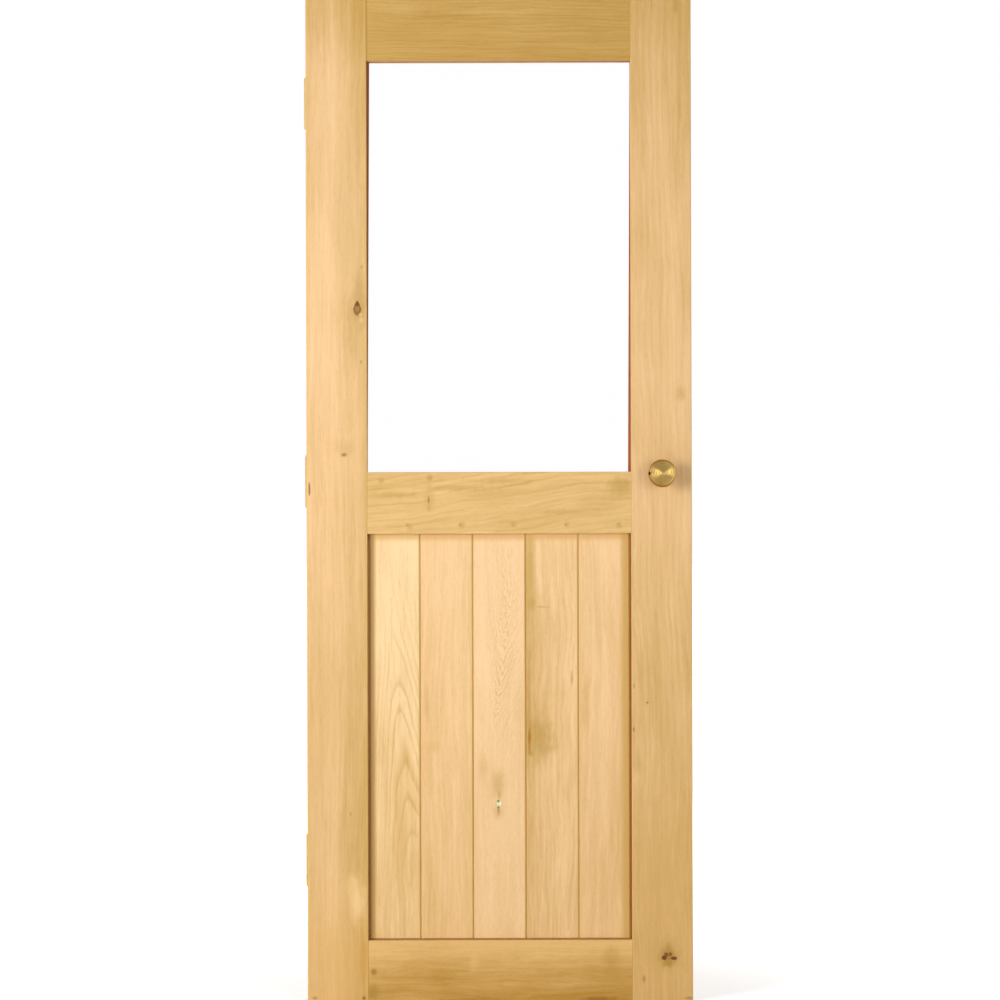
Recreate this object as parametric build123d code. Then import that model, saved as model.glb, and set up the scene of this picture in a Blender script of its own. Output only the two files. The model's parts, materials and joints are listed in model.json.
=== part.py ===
from build123d import *
from math import cos, radians, sin, sqrt, tan
import os

# Half-glazed framed door leaf: stiles and rails round a pane above and five V-jointed boards below,
# with a turned knob on each side, a tubular mortice latch and three butt hinges.
# Millimetres. +X points to the lock edge, +Y to the back, the side it opens to, and +Z up.
# The origin is the middle of the leaf's bottom edge, half way through its thickness.

# Leaf, stiles and rails
LEAF_WIDTH = 762.0
LEAF_HEIGHT = 1981.0
LEAF_THICKNESS = 40.0
STILE_WIDTH = 120.0
TOP_RAIL_WIDTH = 122.0
MID_RAIL_WIDTH = 122.0
BOTTOM_RAIL_WIDTH = 120.0
MID_RAIL_TOP = 1046.0
EDGE_ROUND = 2.0
ARRIS = 0.8

# Mortise and tenon joints
TENON_THICKNESS = 14.0
TENON_SHOULDER = 20.0
TENON_WALL = 8.0
MORTISE_END_WOOD = 33.0
MORTISE_FIT = 0.1
GLUE_GAP = 2.0

# Boards of the lower panel
BOARD_COUNT = 5
BOARD_THICKNESS = 20.0
BOARD_GAP = 0.4
BOARD_CHAMFER = 2.6
TONGUE_THICKNESS = 8.0
TONGUE_LENGTH = 9.0
TONGUE_FIT = 0.2
TONGUE_SPARE = 2.0
SHADOW_GAP = 3.0
HOUSING_DEPTH = 28.0
HOUSING_SPARE = 2.0
PEG_RADIUS = 3.0
PEG_RISE = 17.5
PEG_BACK_GRIP = 4.0
PEG_FIT = 0.05
PEG_ACROSS_SHARE = 0.76
KNOT_BOARD_INDEX = 2
KNOT_PIT_RADIUS = 3.0
KNOT_ACROSS_SHARE = 0.487
KNOT_UP_SHARE = 0.32

# Pane, tapes, setting blocks and beads
GLAZING_LIP = 14.0
REBATE_DEPTH = 12.0
PANE_THICKNESS = 4.0
PANE_EDGE_GAP = 3.0
TAPE_THICKNESS = 2.0
TAPE_SHOW = 3.0
TAPE_TOP_SHOW = 1.0
TAPE_LEAN = 2.5
SETTING_BLOCK_LENGTH = 60.0
SETTING_BLOCK_SHARE = 0.25
BEAD_SPLAY = 6.0
BEAD_PIN_RADIUS = 0.8
BEAD_PIN_LENGTH = 25.0
BEAD_PIN_SINK = 0.5
BEAD_PIN_FIT = 0.05
BEAD_PIN_DEPTH_SHARE = 0.4
BEAD_PIN_END_SHARE = 0.12
UPRIGHT_BEAD_PIN_COUNT = 4
CROSS_BEAD_PIN_COUNT = 3

# Knobs, roses and spindle
KNOB_DROP = 4.0
KNOB_BACKSET = 60.0
KNOB_RADIUS = 27.5
KNOB_RIM_ROUND = 4.7
KNOB_RIM_HEIGHT = 37.0
KNOB_CROWN = 21.0
KNOB_RING_BULGE = 0.45
KNOB_RING_RADIUS_SHARES = (0.86, 0.67, 0.48, 0.29)
KNOB_RING_HEIGHT_SHARES = (0.215, 0.47, 0.68, 0.82)
NECK_RADIUS = 8.5
NECK_FOOT = 2.0
NECK_TOP = 18.0
BELL_RADIUS = 21.0
BELL_HEIGHT = 31.0
BELL_MID_RADIUS_SHARE = 0.28
BELL_MID_HEIGHT_SHARE = 0.68
GRUB_RADIUS = 2.1
GRUB_LENGTH = 12.0
GRUB_LEAN = 33.0
GRUB_FIT = 0.05
ROSE_RADIUS = 25.0
ROSE_EDGE = 1.6
ROSE_DOME = 4.5
ROSE_COLLAR_RADIUS = 13.0
ROSE_COLLAR_HEIGHT = 9.0
ROSE_SCREW_CIRCLE = 20.0
ROSE_SCREW_COUNT = 4
ROSE_SCREW_SEAT = 2.6
ROSE_SCREW_RADIUS = 1.6
ROSE_SCREW_HEAD_RADIUS = 3.0
ROSE_SCREW_LENGTH = 14.0
SPINDLE_SIZE = 8.0
SPINDLE_REACH = 34.0
SPINDLE_FIT = 0.05
SPINDLE_BORE_RADIUS = 10.0

# Latch
LATCH_TUBE_RADIUS = 12.3
LATCH_TUBE_WALL = 1.3
LATCH_TUBE_LENGTH = 78.0
LATCH_END_WALL = 2.0
LATCH_BORE_FIT = 0.2
FOREND_WIDTH = 25.0
FOREND_HEIGHT = 57.0
FOREND_THICKNESS = 3.0
FOREND_CORNER = 3.0
FOREND_SCREW_RISE = 21.0
FOREND_SCREW_RADIUS = 1.9
FOREND_SCREW_HEAD_RADIUS = 3.6
FOREND_SCREW_LENGTH = 20.0
BOLT_THICKNESS = 12.0
BOLT_HEIGHT = 16.0
BOLT_THROW = 10.0
BOLT_PROUD = 0.5
BOLT_FLAT = 3.0
BOLT_FIT = 0.3
BULKHEAD_THICKNESS = 2.0
ROD_RADIUS = 2.5
TAIL_BLOCK = 2.5
TAIL_THICKNESS = 2.5
LUG_LENGTH = 3.5
RUN_GAP = 0.5
FOLLOWER_RADIUS = 6.5
FOLLOWER_FIT = 0.3
FOLLOWER_OVERHANG = 0.5
ARM_REACH = 10.2
ARM_WIDTH = 4.0
ARM_THICKNESS = 5.0
ARM_LEAN = 40.0
FOLLOWER_REST_TURN = 70.0
SPRING_ROOM = 20.0
SPRING_RADIUS = 4.6
SPRING_WIRE_RADIUS = 0.5
SPRING_TURN_COUNT = 5
SPRING_SEAT = 0.1

# Butt hinges
HINGE_LENGTH = 100.0
HINGE_THICKNESS = 3.0
HINGE_REACH = 30.0
HINGE_GAP = 1.6
HINGE_TOP_DROP = 150.0
HINGE_BOTTOM_RISE = 225.0
HINGE_RECESS_FIT = 0.1
KNUCKLE_RADIUS = 4.5
KNUCKLE_COUNT = 5
KNUCKLE_GAP = 0.4
KNUCKLE_STANDOFF = 0.5
HINGE_PIN_RADIUS = 2.5
HINGE_PIN_FIT = 0.05
HINGE_TIP_RADIUS = 3.8
HINGE_TIP_HEIGHT = 3.0
HINGE_TIP_BEVEL = 1.4
HINGE_REST_TURN = 180.0
HINGE_SCREW_RADIUS = 2.2
HINGE_SCREW_HEAD_RADIUS = 4.0
HINGE_SCREW_LENGTH = 25.0
HINGE_HOLE_FIT = 0.4
HINGE_SCREW_ACROSS_SHARES = (0.3, 0.7)
HINGE_SCREW_ALONG_SHARES = (0.38, 0.14)

# What all screws and cuts share
SCREW_FIT = 0.1
SCREW_TIP_SHARE = 0.3
SCREW_SLOT_WIDTH_SHARE = 0.2
SCREW_SLOT_DEPTH_SHARE = 0.25
OVERRUN = 5.0

# Places worked out from the sizes above
HALF_WIDTH = LEAF_WIDTH / 2
BACK = LEAF_THICKNESS / 2
FRONT = -BACK
HALF_OPENING = HALF_WIDTH - STILE_WIDTH
MID_RAIL_BOTTOM = MID_RAIL_TOP - MID_RAIL_WIDTH
TOP_RAIL_BOTTOM = LEAF_HEIGHT - TOP_RAIL_WIDTH
GROOVE_DEPTH = TONGUE_LENGTH + TONGUE_SPARE
KNOB_X = HALF_WIDTH - KNOB_BACKSET
KNOB_Z = MID_RAIL_TOP - KNOB_DROP
LATCH_BORE_RADIUS = LATCH_TUBE_RADIUS + LATCH_BORE_FIT
PANE_FRONT = FRONT + GLAZING_LIP + TAPE_THICKNESS
PANE_BACK = PANE_FRONT + PANE_THICKNESS
BEAD_FRONT = PANE_BACK + TAPE_THICKNESS
REBATE_X = HALF_OPENING + REBATE_DEPTH
REBATE_BOTTOM = MID_RAIL_TOP - REBATE_DEPTH
REBATE_TOP = TOP_RAIL_BOTTOM + REBATE_DEPTH
PANE_X = REBATE_X - PANE_EDGE_GAP
PANE_BOTTOM = REBATE_BOTTOM + PANE_EDGE_GAP
PANE_TOP = REBATE_TOP - PANE_EDGE_GAP
HINGE_X = -HALF_WIDTH - HINGE_GAP / 2
HINGE_Y = BACK + KNUCKLE_RADIUS + KNUCKLE_STANDOFF
HINGE_TOP_Z = LEAF_HEIGHT - HINGE_TOP_DROP - HINGE_LENGTH / 2
HINGE_BOTTOM_Z = HINGE_BOTTOM_RISE + HINGE_LENGTH / 2
HINGE_HEIGHTS = {
    "top": HINGE_TOP_Z,
    "middle": (HINGE_TOP_Z + HINGE_BOTTOM_Z) / 2,
    "bottom": HINGE_BOTTOM_Z,
}


def block(x0, x1, y0, y1, z0, z1):
    """A box given by its limits."""
    centre = Pos((x0 + x1) / 2, (y0 + y1) / 2, (z0 + z1) / 2)
    return centre * Box(x1 - x0, y1 - y0, z1 - z0)


def rod(radius, start, end):
    """A cylinder along local Z between two heights."""
    return Pos(0, 0, (start + end) / 2) * Cylinder(radius, end - start)


def turned(*curves):
    """A solid turned about local Z from an outline in radius and height."""
    return revolve(Plane.XZ * make_face(curves), Axis.Z)


def turned_points(*points):
    """A solid turned about local Z from a closed outline of straight runs."""
    return turned(Polyline(*points, close=True))


def screw(radius, head_radius, length):
    """A slotted countersunk wood screw, its head flush with local Z = 0 and its tip below."""
    head_depth = head_radius - radius
    tip = length * SCREW_TIP_SHARE
    body = turned_points(
        (0, 0), (head_radius, 0), (radius, -head_depth), (radius, tip - length), (0, -length)
    )
    slot_width = head_radius * SCREW_SLOT_WIDTH_SHARE
    slot_depth = head_radius * SCREW_SLOT_DEPTH_SHARE
    return body - block(
        -head_radius, head_radius, -slot_width / 2, slot_width / 2, -slot_depth, slot_depth
    )


def screw_hole(radius, head_radius, depth, fit=SCREW_FIT):
    """The cutter for a countersunk hole whose mouth is at local Z = 0."""
    hole = radius + fit
    mouth = head_radius + SCREW_FIT
    return turned_points(
        (0, OVERRUN), (mouth, OVERRUN), (mouth, 0), (hole, hole - mouth), (hole, -depth), (0, -depth)
    )


def upright(x, y):
    """A plane at floor height whose normal points up."""
    return Plane(origin=(x, y, 0), x_dir=(1, 0, 0), z_dir=(0, 0, 1))


def knob_plane(side):
    """The plane of a knob on one face: its normal leaves the leaf, side is -1 in front, 1 behind."""
    return Plane(origin=(KNOB_X, side * BACK, KNOB_Z), x_dir=(-side, 0, 0), z_dir=(0, side, 0))


def latch_plane():
    """The plane of the latch: its normal points to the lock edge, its X to the back."""
    return Plane(origin=(KNOB_X, 0, KNOB_Z), x_dir=(0, 1, 0), z_dir=(1, 0, 0))


# Tenons of the three rails, each as its lowest and highest height
TENON_HEIGHTS = {
    "top_rail": (REBATE_TOP + TENON_WALL, LEAF_HEIGHT - TENON_SHOULDER),
    "mid_rail": (
        MID_RAIL_BOTTOM + HOUSING_DEPTH + TENON_WALL,
        min(REBATE_BOTTOM, KNOB_Z - LATCH_BORE_RADIUS) - TENON_WALL,
    ),
    "bottom_rail": (TENON_SHOULDER, BOTTOM_RAIL_WIDTH - GROOVE_DEPTH - TENON_WALL),
}
TENON_END = HALF_WIDTH - MORTISE_END_WOOD - GLUE_GAP


def tenons(low, high, fit, spare):
    """Both tenons of a rail; with a fit and a spare depth, the cutter for their mortises."""
    thick = TENON_THICKNESS / 2 + fit
    end = TENON_END + spare
    pair = []
    for inner, outer in ((-end, -HALF_OPENING), (HALF_OPENING, end)):
        pair.append(block(inner, outer, -thick, thick, low - fit, high + fit))
    return pair


def rebate():
    """The space cut from the back of the frame for the pane and its beads."""
    return block(
        -REBATE_X, REBATE_X, FRONT + GLAZING_LIP, BACK + OVERRUN, REBATE_BOTTOM, REBATE_TOP
    )


def panel_groove():
    """The space for the outer tongues of the boards in the stiles and the bottom rail."""
    half = TONGUE_THICKNESS / 2 + TONGUE_FIT
    edge = HALF_OPENING + GROOVE_DEPTH
    return block(
        -edge, edge, -half, half, BOTTOM_RAIL_WIDTH - GROOVE_DEPTH, MID_RAIL_BOTTOM + HOUSING_DEPTH
    )


def board_housing():
    """The deeper space for the boards' upper ends in the mid rail."""
    half = BOARD_THICKNESS / 2 + TONGUE_FIT
    return block(
        -HALF_OPENING, HALF_OPENING, -half, half, MID_RAIL_BOTTOM, MID_RAIL_BOTTOM + HOUSING_DEPTH
    )


# Boards

BOARD_PITCH = 2 * HALF_OPENING / BOARD_COUNT


def board_left(index):
    """Where a board's share of the panel begins."""
    return index * BOARD_PITCH - HALF_OPENING


def pegs(fit):
    """One peg through the mid rail into the top of each board, or the holes for them."""
    height = MID_RAIL_BOTTOM + PEG_RISE
    shapes = []
    for index in range(BOARD_COUNT):
        x = board_left(index) + BOARD_PITCH * PEG_ACROSS_SHARE
        plane = Plane(origin=(x, 0, height), x_dir=(1, 0, 0), z_dir=(0, -1, 0))
        deep = -BOARD_THICKNESS / 2 - PEG_BACK_GRIP
        shapes.append(plane * rod(PEG_RADIUS + fit, deep - fit, BACK + (OVERRUN if fit else 0)))
    return shapes


def panel_board(index):
    """A board with a tongue to its right and a groove, or for the first a tongue, to its left."""
    left = board_left(index)
    right = left + BOARD_PITCH
    first = index == 0
    last = index == BOARD_COUNT - 1
    face_left = left + (SHADOW_GAP if first else BOARD_GAP / 2)
    face_right = right - (SHADOW_GAP if last else BOARD_GAP / 2)
    half = BOARD_THICKNESS / 2
    tongue = TONGUE_THICKNESS / 2
    shoulder = BOTTOM_RAIL_WIDTH + SHADOW_GAP
    foot = BOTTOM_RAIL_WIDTH - TONGUE_LENGTH
    top = MID_RAIL_BOTTOM + HOUSING_DEPTH - HOUSING_SPARE
    board = block(face_left, face_right, -half, half, shoulder, top)
    board = chamfer(board.edges().filter_by(Axis.Z), BOARD_CHAMFER)
    tongue_left = left - TONGUE_LENGTH if first else face_left
    board += block(tongue_left, right + TONGUE_LENGTH, -tongue, tongue, foot, top)
    if not first:
        room = tongue + TONGUE_FIT
        groove_end = left + TONGUE_LENGTH + TONGUE_SPARE
        board -= block(left - OVERRUN, groove_end, -room, room, foot - OVERRUN, top + OVERRUN)
    if index == KNOT_BOARD_INDEX:
        pit_x = left + BOARD_PITCH * KNOT_ACROSS_SHARE
        pit_z = shoulder + (top - shoulder) * KNOT_UP_SHARE
        board -= Pos(pit_x, -half, pit_z) * Sphere(KNOT_PIT_RADIUS)
    return board - pegs(PEG_FIT)


# Glazing

def pane_ring(y0, y1, show, top_show, lean):
    """A tape round one face of the pane: how far it shows at the sides and top, and how far it tips."""
    outer = block(-PANE_X, PANE_X, y0, y1, PANE_BOTTOM, PANE_TOP)
    edge = HALF_OPENING - show
    top = TOP_RAIL_BOTTOM - top_show
    window = Polygon(
        (-edge - lean, MID_RAIL_TOP),
        (edge - lean, MID_RAIL_TOP),
        (edge + lean, top),
        (lean - edge, top),
        align=None,
    )
    opening = extrude(Plane.XZ * window, amount=y1 - y0 + 2 * OVERRUN)
    return outer - Pos(0, y1 + OVERRUN, 0) * opening


def setting_blocks():
    """Two blocks that carry the pane on the floor of the rebate."""
    blocks = []
    for side in (-1, 1):
        x = side * 2 * PANE_X * SETTING_BLOCK_SHARE
        half = SETTING_BLOCK_LENGTH / 2
        blocks.append(block(x - half, x + half, PANE_FRONT, PANE_BACK, REBATE_BOTTOM, PANE_BOTTOM))
    return blocks


BEAD_MID_Z = (REBATE_BOTTOM + REBATE_TOP) / 2
# Each bead: the middle of its outer edge, the way to the pane, half its length and its number of pins
BEADS = {
    "top": ((0, REBATE_TOP), (0, -1), REBATE_X, CROSS_BEAD_PIN_COUNT),
    "bottom": ((0, REBATE_BOTTOM), (0, 1), REBATE_X, CROSS_BEAD_PIN_COUNT),
    "hinge_side": ((-REBATE_X, BEAD_MID_Z), (1, 0), REBATE_TOP - BEAD_MID_Z, UPRIGHT_BEAD_PIN_COUNT),
    "lock_side": ((REBATE_X, BEAD_MID_Z), (-1, 0), REBATE_TOP - BEAD_MID_Z, UPRIGHT_BEAD_PIN_COUNT),
}


def bead_plane(middle, inward):
    """A bead's plane: its X runs along the bead, its Y to the pane and its normal to the back."""
    return Plane(
        origin=(middle[0], BEAD_FRONT, middle[1]), x_dir=(-inward[1], 0, inward[0]), z_dir=(0, 1, 0)
    )


def bead_pins(side, fit):
    """The pins of one bead, or with a fit the holes for them."""
    middle, inward, half, count = BEADS[side]
    height = (BACK - BEAD_FRONT) * BEAD_PIN_DEPTH_SHARE
    first = 2 * half * BEAD_PIN_END_SHARE - half
    step = -2 * first / (count - 1)
    top = REBATE_DEPTH - BEAD_PIN_SINK
    shapes = []
    for index in range(count):
        across = Plane(origin=(first + index * step, 0, height), x_dir=(1, 0, 0), z_dir=(0, 1, 0))
        start = top - BEAD_PIN_LENGTH - fit
        end = top + (OVERRUN if fit else 0)
        pin = rod(BEAD_PIN_RADIUS + fit, start, end)
        shapes.append(bead_plane(middle, inward) * across * pin)
    return shapes


def glazing_bead(side):
    """A mitred bead with a splayed inner edge, cut for its pins."""
    middle, inward, half, count = BEADS[side]
    short = half - REBATE_DEPTH
    outline = Polyline(
        (-half, 0), (half, 0), (short, REBATE_DEPTH), (-short, REBATE_DEPTH), close=True
    )
    bead = extrude(make_face(outline), BACK - BEAD_FRONT)
    inner_edges = bead.edges().filter_by(Axis.X).group_by(Axis.Y)[-1]
    bead = chamfer(inner_edges.sort_by(Axis.Z)[-1], BEAD_SPLAY)
    return bead_plane(middle, inward) * bead - bead_pins(side, BEAD_PIN_FIT)


# Knob set

def knob_outline():
    """Half of the knob's outline in radius and height above the leaf, from its foot to its crown."""
    neck = Polyline((0, NECK_FOOT), (NECK_RADIUS, NECK_FOOT), (NECK_RADIUS, NECK_TOP))
    bell_mid = (
        NECK_RADIUS + (BELL_RADIUS - NECK_RADIUS) * BELL_MID_RADIUS_SHARE,
        NECK_TOP + (BELL_HEIGHT - NECK_TOP) * BELL_MID_HEIGHT_SHARE,
    )
    bell = ThreePointArc((NECK_RADIUS, NECK_TOP), bell_mid, (BELL_RADIUS, BELL_HEIGHT))
    rings = []
    for radius_share, height_share in zip(KNOB_RING_RADIUS_SHARES, KNOB_RING_HEIGHT_SHARES):
        rings.append((KNOB_RADIUS * radius_share, KNOB_RIM_HEIGHT + KNOB_CROWN * height_share))
    rim = ThreePointArc((BELL_RADIUS, BELL_HEIGHT), (KNOB_RADIUS, KNOB_RIM_HEIGHT), rings[0])
    curves = [neck, bell, rim]
    for outer, inner in zip(rings, rings[1:]):
        run = Vector(*inner) - Vector(*outer)
        out = Vector(-run.Y, run.X).normalized() * -KNOB_RING_BULGE
        middle = Vector((outer[0] + inner[0]) / 2, (outer[1] + inner[1]) / 2) + out
        curves.append(ThreePointArc(outer, (middle.X, middle.Y), inner))
    top = KNOB_RIM_HEIGHT + KNOB_CROWN
    side, height = rings[-1]
    curves.append(ThreePointArc((side, height), (0, top), (-side, height)).trim(0, 1 / 2))
    curves.append(Line((0, top), (0, NECK_FOOT)))
    return curves


def grub_plane():
    """The grub screw's plane on the knob's rim: its normal leaves the knob."""
    lean = radians(GRUB_LEAN)
    return Plane(
        origin=(KNOB_RIM_ROUND - KNOB_RADIUS, 0, KNOB_RIM_HEIGHT),
        x_dir=(0, 1, 0),
        z_dir=(-cos(lean), 0, sin(lean)),
    )


def grub_seat():
    """How far along its own line the grub screw reaches in, to the spindle's side."""
    spindle_side = SPINDLE_SIZE / 2 + SPINDLE_FIT
    return -(KNOB_RADIUS - KNOB_RIM_ROUND - spindle_side) / cos(radians(GRUB_LEAN))


def grub_screw():
    """A headless set screw with a slot, seated on the spindle."""
    start = grub_seat() + GRUB_RADIUS * tan(radians(GRUB_LEAN))
    body = rod(GRUB_RADIUS, start, start + GRUB_LENGTH)
    slot = GRUB_RADIUS * SCREW_SLOT_WIDTH_SHARE
    depth = GRUB_RADIUS * SCREW_SLOT_DEPTH_SHARE
    end = start + GRUB_LENGTH
    body -= block(-GRUB_RADIUS, GRUB_RADIUS, -slot, slot, end - depth, end + depth)
    return grub_plane() * body


def square_bar(size, start, end):
    """A square bar along local Z."""
    return block(-size / 2, size / 2, -size / 2, size / 2, start, end)


def spindle():
    """The square bar through the leaf that joins the two knobs."""
    return knob_plane(1) * square_bar(SPINDLE_SIZE, -LEAF_THICKNESS - SPINDLE_REACH, SPINDLE_REACH)


def knob(side):
    """A turned knob with a socket for the spindle and a slanting hole for its grub screw."""
    body = turned(*knob_outline())
    body -= square_bar(SPINDLE_SIZE + 2 * SPINDLE_FIT, NECK_FOOT - OVERRUN, SPINDLE_REACH + RUN_GAP)
    body -= grub_plane() * rod(GRUB_RADIUS + GRUB_FIT, grub_seat(), KNOB_RADIUS)
    return knob_plane(side) * body


def rose_screw_places(height):
    """The places of a rose's screws on its own plane."""
    places = []
    for index in range(ROSE_SCREW_COUNT):
        turn = 360 * (index + 1 / 2) / ROSE_SCREW_COUNT
        places.append(Pos(0, 0, height) * Rot(0, 0, turn) * Pos(ROSE_SCREW_CIRCLE, 0, 0))
    return places


def rose(side):
    """A domed round plate with a collar round the knob's neck."""
    hole = NECK_RADIUS + FOLLOWER_FIT
    body = turned_points(
        (hole, 0),
        (ROSE_RADIUS, 0),
        (ROSE_RADIUS, ROSE_EDGE),
        (ROSE_COLLAR_RADIUS, ROSE_DOME),
        (ROSE_COLLAR_RADIUS, ROSE_COLLAR_HEIGHT),
        (hole, ROSE_COLLAR_HEIGHT),
    )
    cutter = screw_hole(ROSE_SCREW_RADIUS, ROSE_SCREW_HEAD_RADIUS, ROSE_SCREW_SEAT + OVERRUN)
    for place in rose_screw_places(ROSE_SCREW_SEAT):
        body -= place * cutter
    return knob_plane(side) * body


def rose_screws():
    """All the screws of both roses."""
    one = screw(ROSE_SCREW_RADIUS, ROSE_SCREW_HEAD_RADIUS, ROSE_SCREW_LENGTH)
    places = rose_screw_places(ROSE_SCREW_SEAT)
    return [knob_plane(side) * place * one for side in (-1, 1) for place in places]


# Latch, along its own axis: local X to the back, local Y up and local Z to the lock edge

TUBE_INNER = LATCH_TUBE_RADIUS - LATCH_TUBE_WALL
TUBE_FRONT = KNOB_BACKSET - FOREND_THICKNESS
TAIL_BLOCK_BACK = ARM_REACH + BOLT_THROW + RUN_GAP
TAIL_BLOCK_FRONT = TAIL_BLOCK_BACK + TAIL_BLOCK
BULKHEAD_BACK = TAIL_BLOCK_FRONT + RUN_GAP
BULKHEAD_FRONT = BULKHEAD_BACK + BULKHEAD_THICKNESS
BOLT_BACK = BULKHEAD_FRONT + SPRING_ROOM
BOLT_TIP = KNOB_BACKSET + BOLT_THROW + BOLT_PROUD


def latch_case():
    """A tube with a closed end, a bulkhead for the spring and bearing holes for the follower."""
    end = TUBE_FRONT - LATCH_TUBE_LENGTH
    case = rod(LATCH_TUBE_RADIUS, end, TUBE_FRONT)
    case -= rod(TUBE_INNER, end + LATCH_END_WALL, BULKHEAD_BACK)
    case -= rod(TUBE_INNER, BULKHEAD_FRONT, TUBE_FRONT + OVERRUN)
    case -= rod(ROD_RADIUS + BOLT_FIT, BULKHEAD_BACK - OVERRUN, BULKHEAD_FRONT + OVERRUN)
    across = Rot(0, 90, 0) * Cylinder(FOLLOWER_RADIUS + FOLLOWER_FIT, 2 * LATCH_TUBE_RADIUS + OVERRUN)
    return latch_plane() * (case - across)


def forend_screw_places():
    """The two screws of the forend on the latch's plane, heads at the lock edge."""
    return [Pos(0, side * FOREND_SCREW_RISE, KNOB_BACKSET) for side in (-1, 1)]


def forend_plate(grow):
    """The forend's blank, or with a growth the recess for it."""
    half_width = FOREND_WIDTH / 2 + grow
    half_height = FOREND_HEIGHT / 2 + grow
    top = KNOB_BACKSET + (OVERRUN if grow else 0)
    plate = block(
        -half_width, half_width, -half_height, half_height, KNOB_BACKSET - FOREND_THICKNESS, top
    )
    return fillet(plate.edges().filter_by(Axis.Z), FOREND_CORNER)


def latch_forend():
    """The face plate at the lock edge, with a window for the bolt and two screw holes."""
    half_y = BOLT_HEIGHT / 2 + BOLT_FIT
    half_x = BOLT_THICKNESS / 2 + BOLT_FIT
    plate = forend_plate(0)
    plate -= block(-half_x, half_x, -half_y, half_y, TUBE_FRONT - OVERRUN, KNOB_BACKSET + OVERRUN)
    cutter = screw_hole(FOREND_SCREW_RADIUS, FOREND_SCREW_HEAD_RADIUS, FOREND_THICKNESS + OVERRUN)
    for place in forend_screw_places():
        plate -= place * cutter
    return latch_plane() * plate


def latch_screws():
    """The two screws of the forend."""
    one = screw(FOREND_SCREW_RADIUS, FOREND_SCREW_HEAD_RADIUS, FOREND_SCREW_LENGTH)
    return [latch_plane() * place * one for place in forend_screw_places()]


def latch_bolt():
    """The bevelled bolt, its rod and the forked tail that the follower holds drawn in."""
    half = BOLT_THICKNESS / 2
    edge = KNOB_BACKSET + BOLT_PROUD
    outline = Polyline(
        (-half, BOLT_BACK),
        (half, BOLT_BACK),
        (half, BOLT_TIP),
        (half - BOLT_FLAT, BOLT_TIP),
        (-half, edge),
        close=True,
    )
    head = Pos(0, BOLT_HEIGHT / 2, 0) * extrude(Plane.XZ * make_face(outline), BOLT_HEIGHT)
    stem = rod(ROD_RADIUS, TAIL_BLOCK_BACK, BOLT_BACK + BOLT_PROUD)
    inner = ARM_THICKNESS / 2 + RUN_GAP
    outer = inner + TAIL_THICKNESS
    high = sqrt(TUBE_INNER**2 - outer**2) - RUN_GAP
    low = FOLLOWER_RADIUS + RUN_GAP
    lean = radians(ARM_LEAN)
    lug_front = low * tan(lean) - ARM_WIDTH / 2 / cos(lean) - RUN_GAP
    lug_back = lug_front - LUG_LENGTH
    fork = block(inner, outer, -high, high, lug_back, TAIL_BLOCK_FRONT)
    slot_end = FOLLOWER_RADIUS + BOLT_THROW + RUN_GAP
    fork -= block(inner - OVERRUN, outer + OVERRUN, -low, low, lug_back - OVERRUN, slot_end)
    fork += block(-ROD_RADIUS, outer, -ROD_RADIUS, ROD_RADIUS, TAIL_BLOCK_BACK, TAIL_BLOCK_FRONT)
    for start, end in ((low, high), (-high, -low)):
        fork += block(-ARM_THICKNESS / 2, inner, start, end, lug_back, lug_front)
    return latch_plane() * Pos(0, 0, -BOLT_THROW) * (head + stem + fork)


def latch_follower():
    """The hub that the spindle turns, with two arms, turned as far as draws the bolt in."""
    length = LATCH_TUBE_RADIUS + FOLLOWER_OVERHANG
    hub = rod(FOLLOWER_RADIUS, -length, length)
    half_thick = ARM_THICKNESS / 2
    half_wide = ARM_WIDTH / 2
    arm = block(0, ARM_REACH, -half_wide, half_wide, -half_thick, half_thick)
    for angle in (90 - ARM_LEAN, ARM_LEAN - 90):
        hub += Rot(0, 0, angle - FOLLOWER_REST_TURN) * arm
    hub -= square_bar(SPINDLE_SIZE + 2 * SPINDLE_FIT, -length - OVERRUN, length + OVERRUN)
    return Plane(origin=(KNOB_X, 0, KNOB_Z), x_dir=(1, 0, 0), z_dir=(0, -1, 0)) * hub


def latch_spring():
    """A coil spring, pressed between the case's bulkhead and the back of the drawn bolt."""
    start = BULKHEAD_FRONT + SPRING_WIRE_RADIUS + SPRING_SEAT
    height = SPRING_ROOM - BOLT_THROW - 2 * (SPRING_WIRE_RADIUS + SPRING_SEAT)
    coil = Helix(height / SPRING_TURN_COUNT, height, SPRING_RADIUS)
    wire = Plane(origin=coil @ 0, z_dir=coil % 0) * Circle(SPRING_WIRE_RADIUS)
    return latch_plane() * Pos(0, 0, start) * sweep(wire, path=coil)


def latch_room():
    """What is cut from the lock stile for the latch, its forend, its screws and the spindle."""
    bore_end = TUBE_FRONT - LATCH_TUBE_LENGTH - LATCH_BORE_FIT
    bore = rod(LATCH_BORE_RADIUS, bore_end, KNOB_BACKSET + OVERRUN)
    cutters = [latch_plane() * bore, latch_plane() * forend_plate(LATCH_BORE_FIT)]
    pilot = rod(FOREND_SCREW_RADIUS + SCREW_FIT, -FOREND_SCREW_LENGTH, 0)
    for place in forend_screw_places():
        cutters.append(latch_plane() * place * pilot)
    cutters.append(knob_plane(1) * rod(SPINDLE_BORE_RADIUS, -LEAF_THICKNESS - OVERRUN, OVERRUN))
    pilot = rod(ROSE_SCREW_RADIUS + SCREW_FIT, -ROSE_SCREW_LENGTH, 0)
    for side in (-1, 1):
        for place in rose_screw_places(ROSE_SCREW_SEAT):
            cutters.append(knob_plane(side) * place * pilot)
    return cutters


# Hinges

HINGE_FRONT = BACK - HINGE_REACH
KNUCKLE_PITCH = HINGE_LENGTH / KNUCKLE_COUNT


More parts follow.
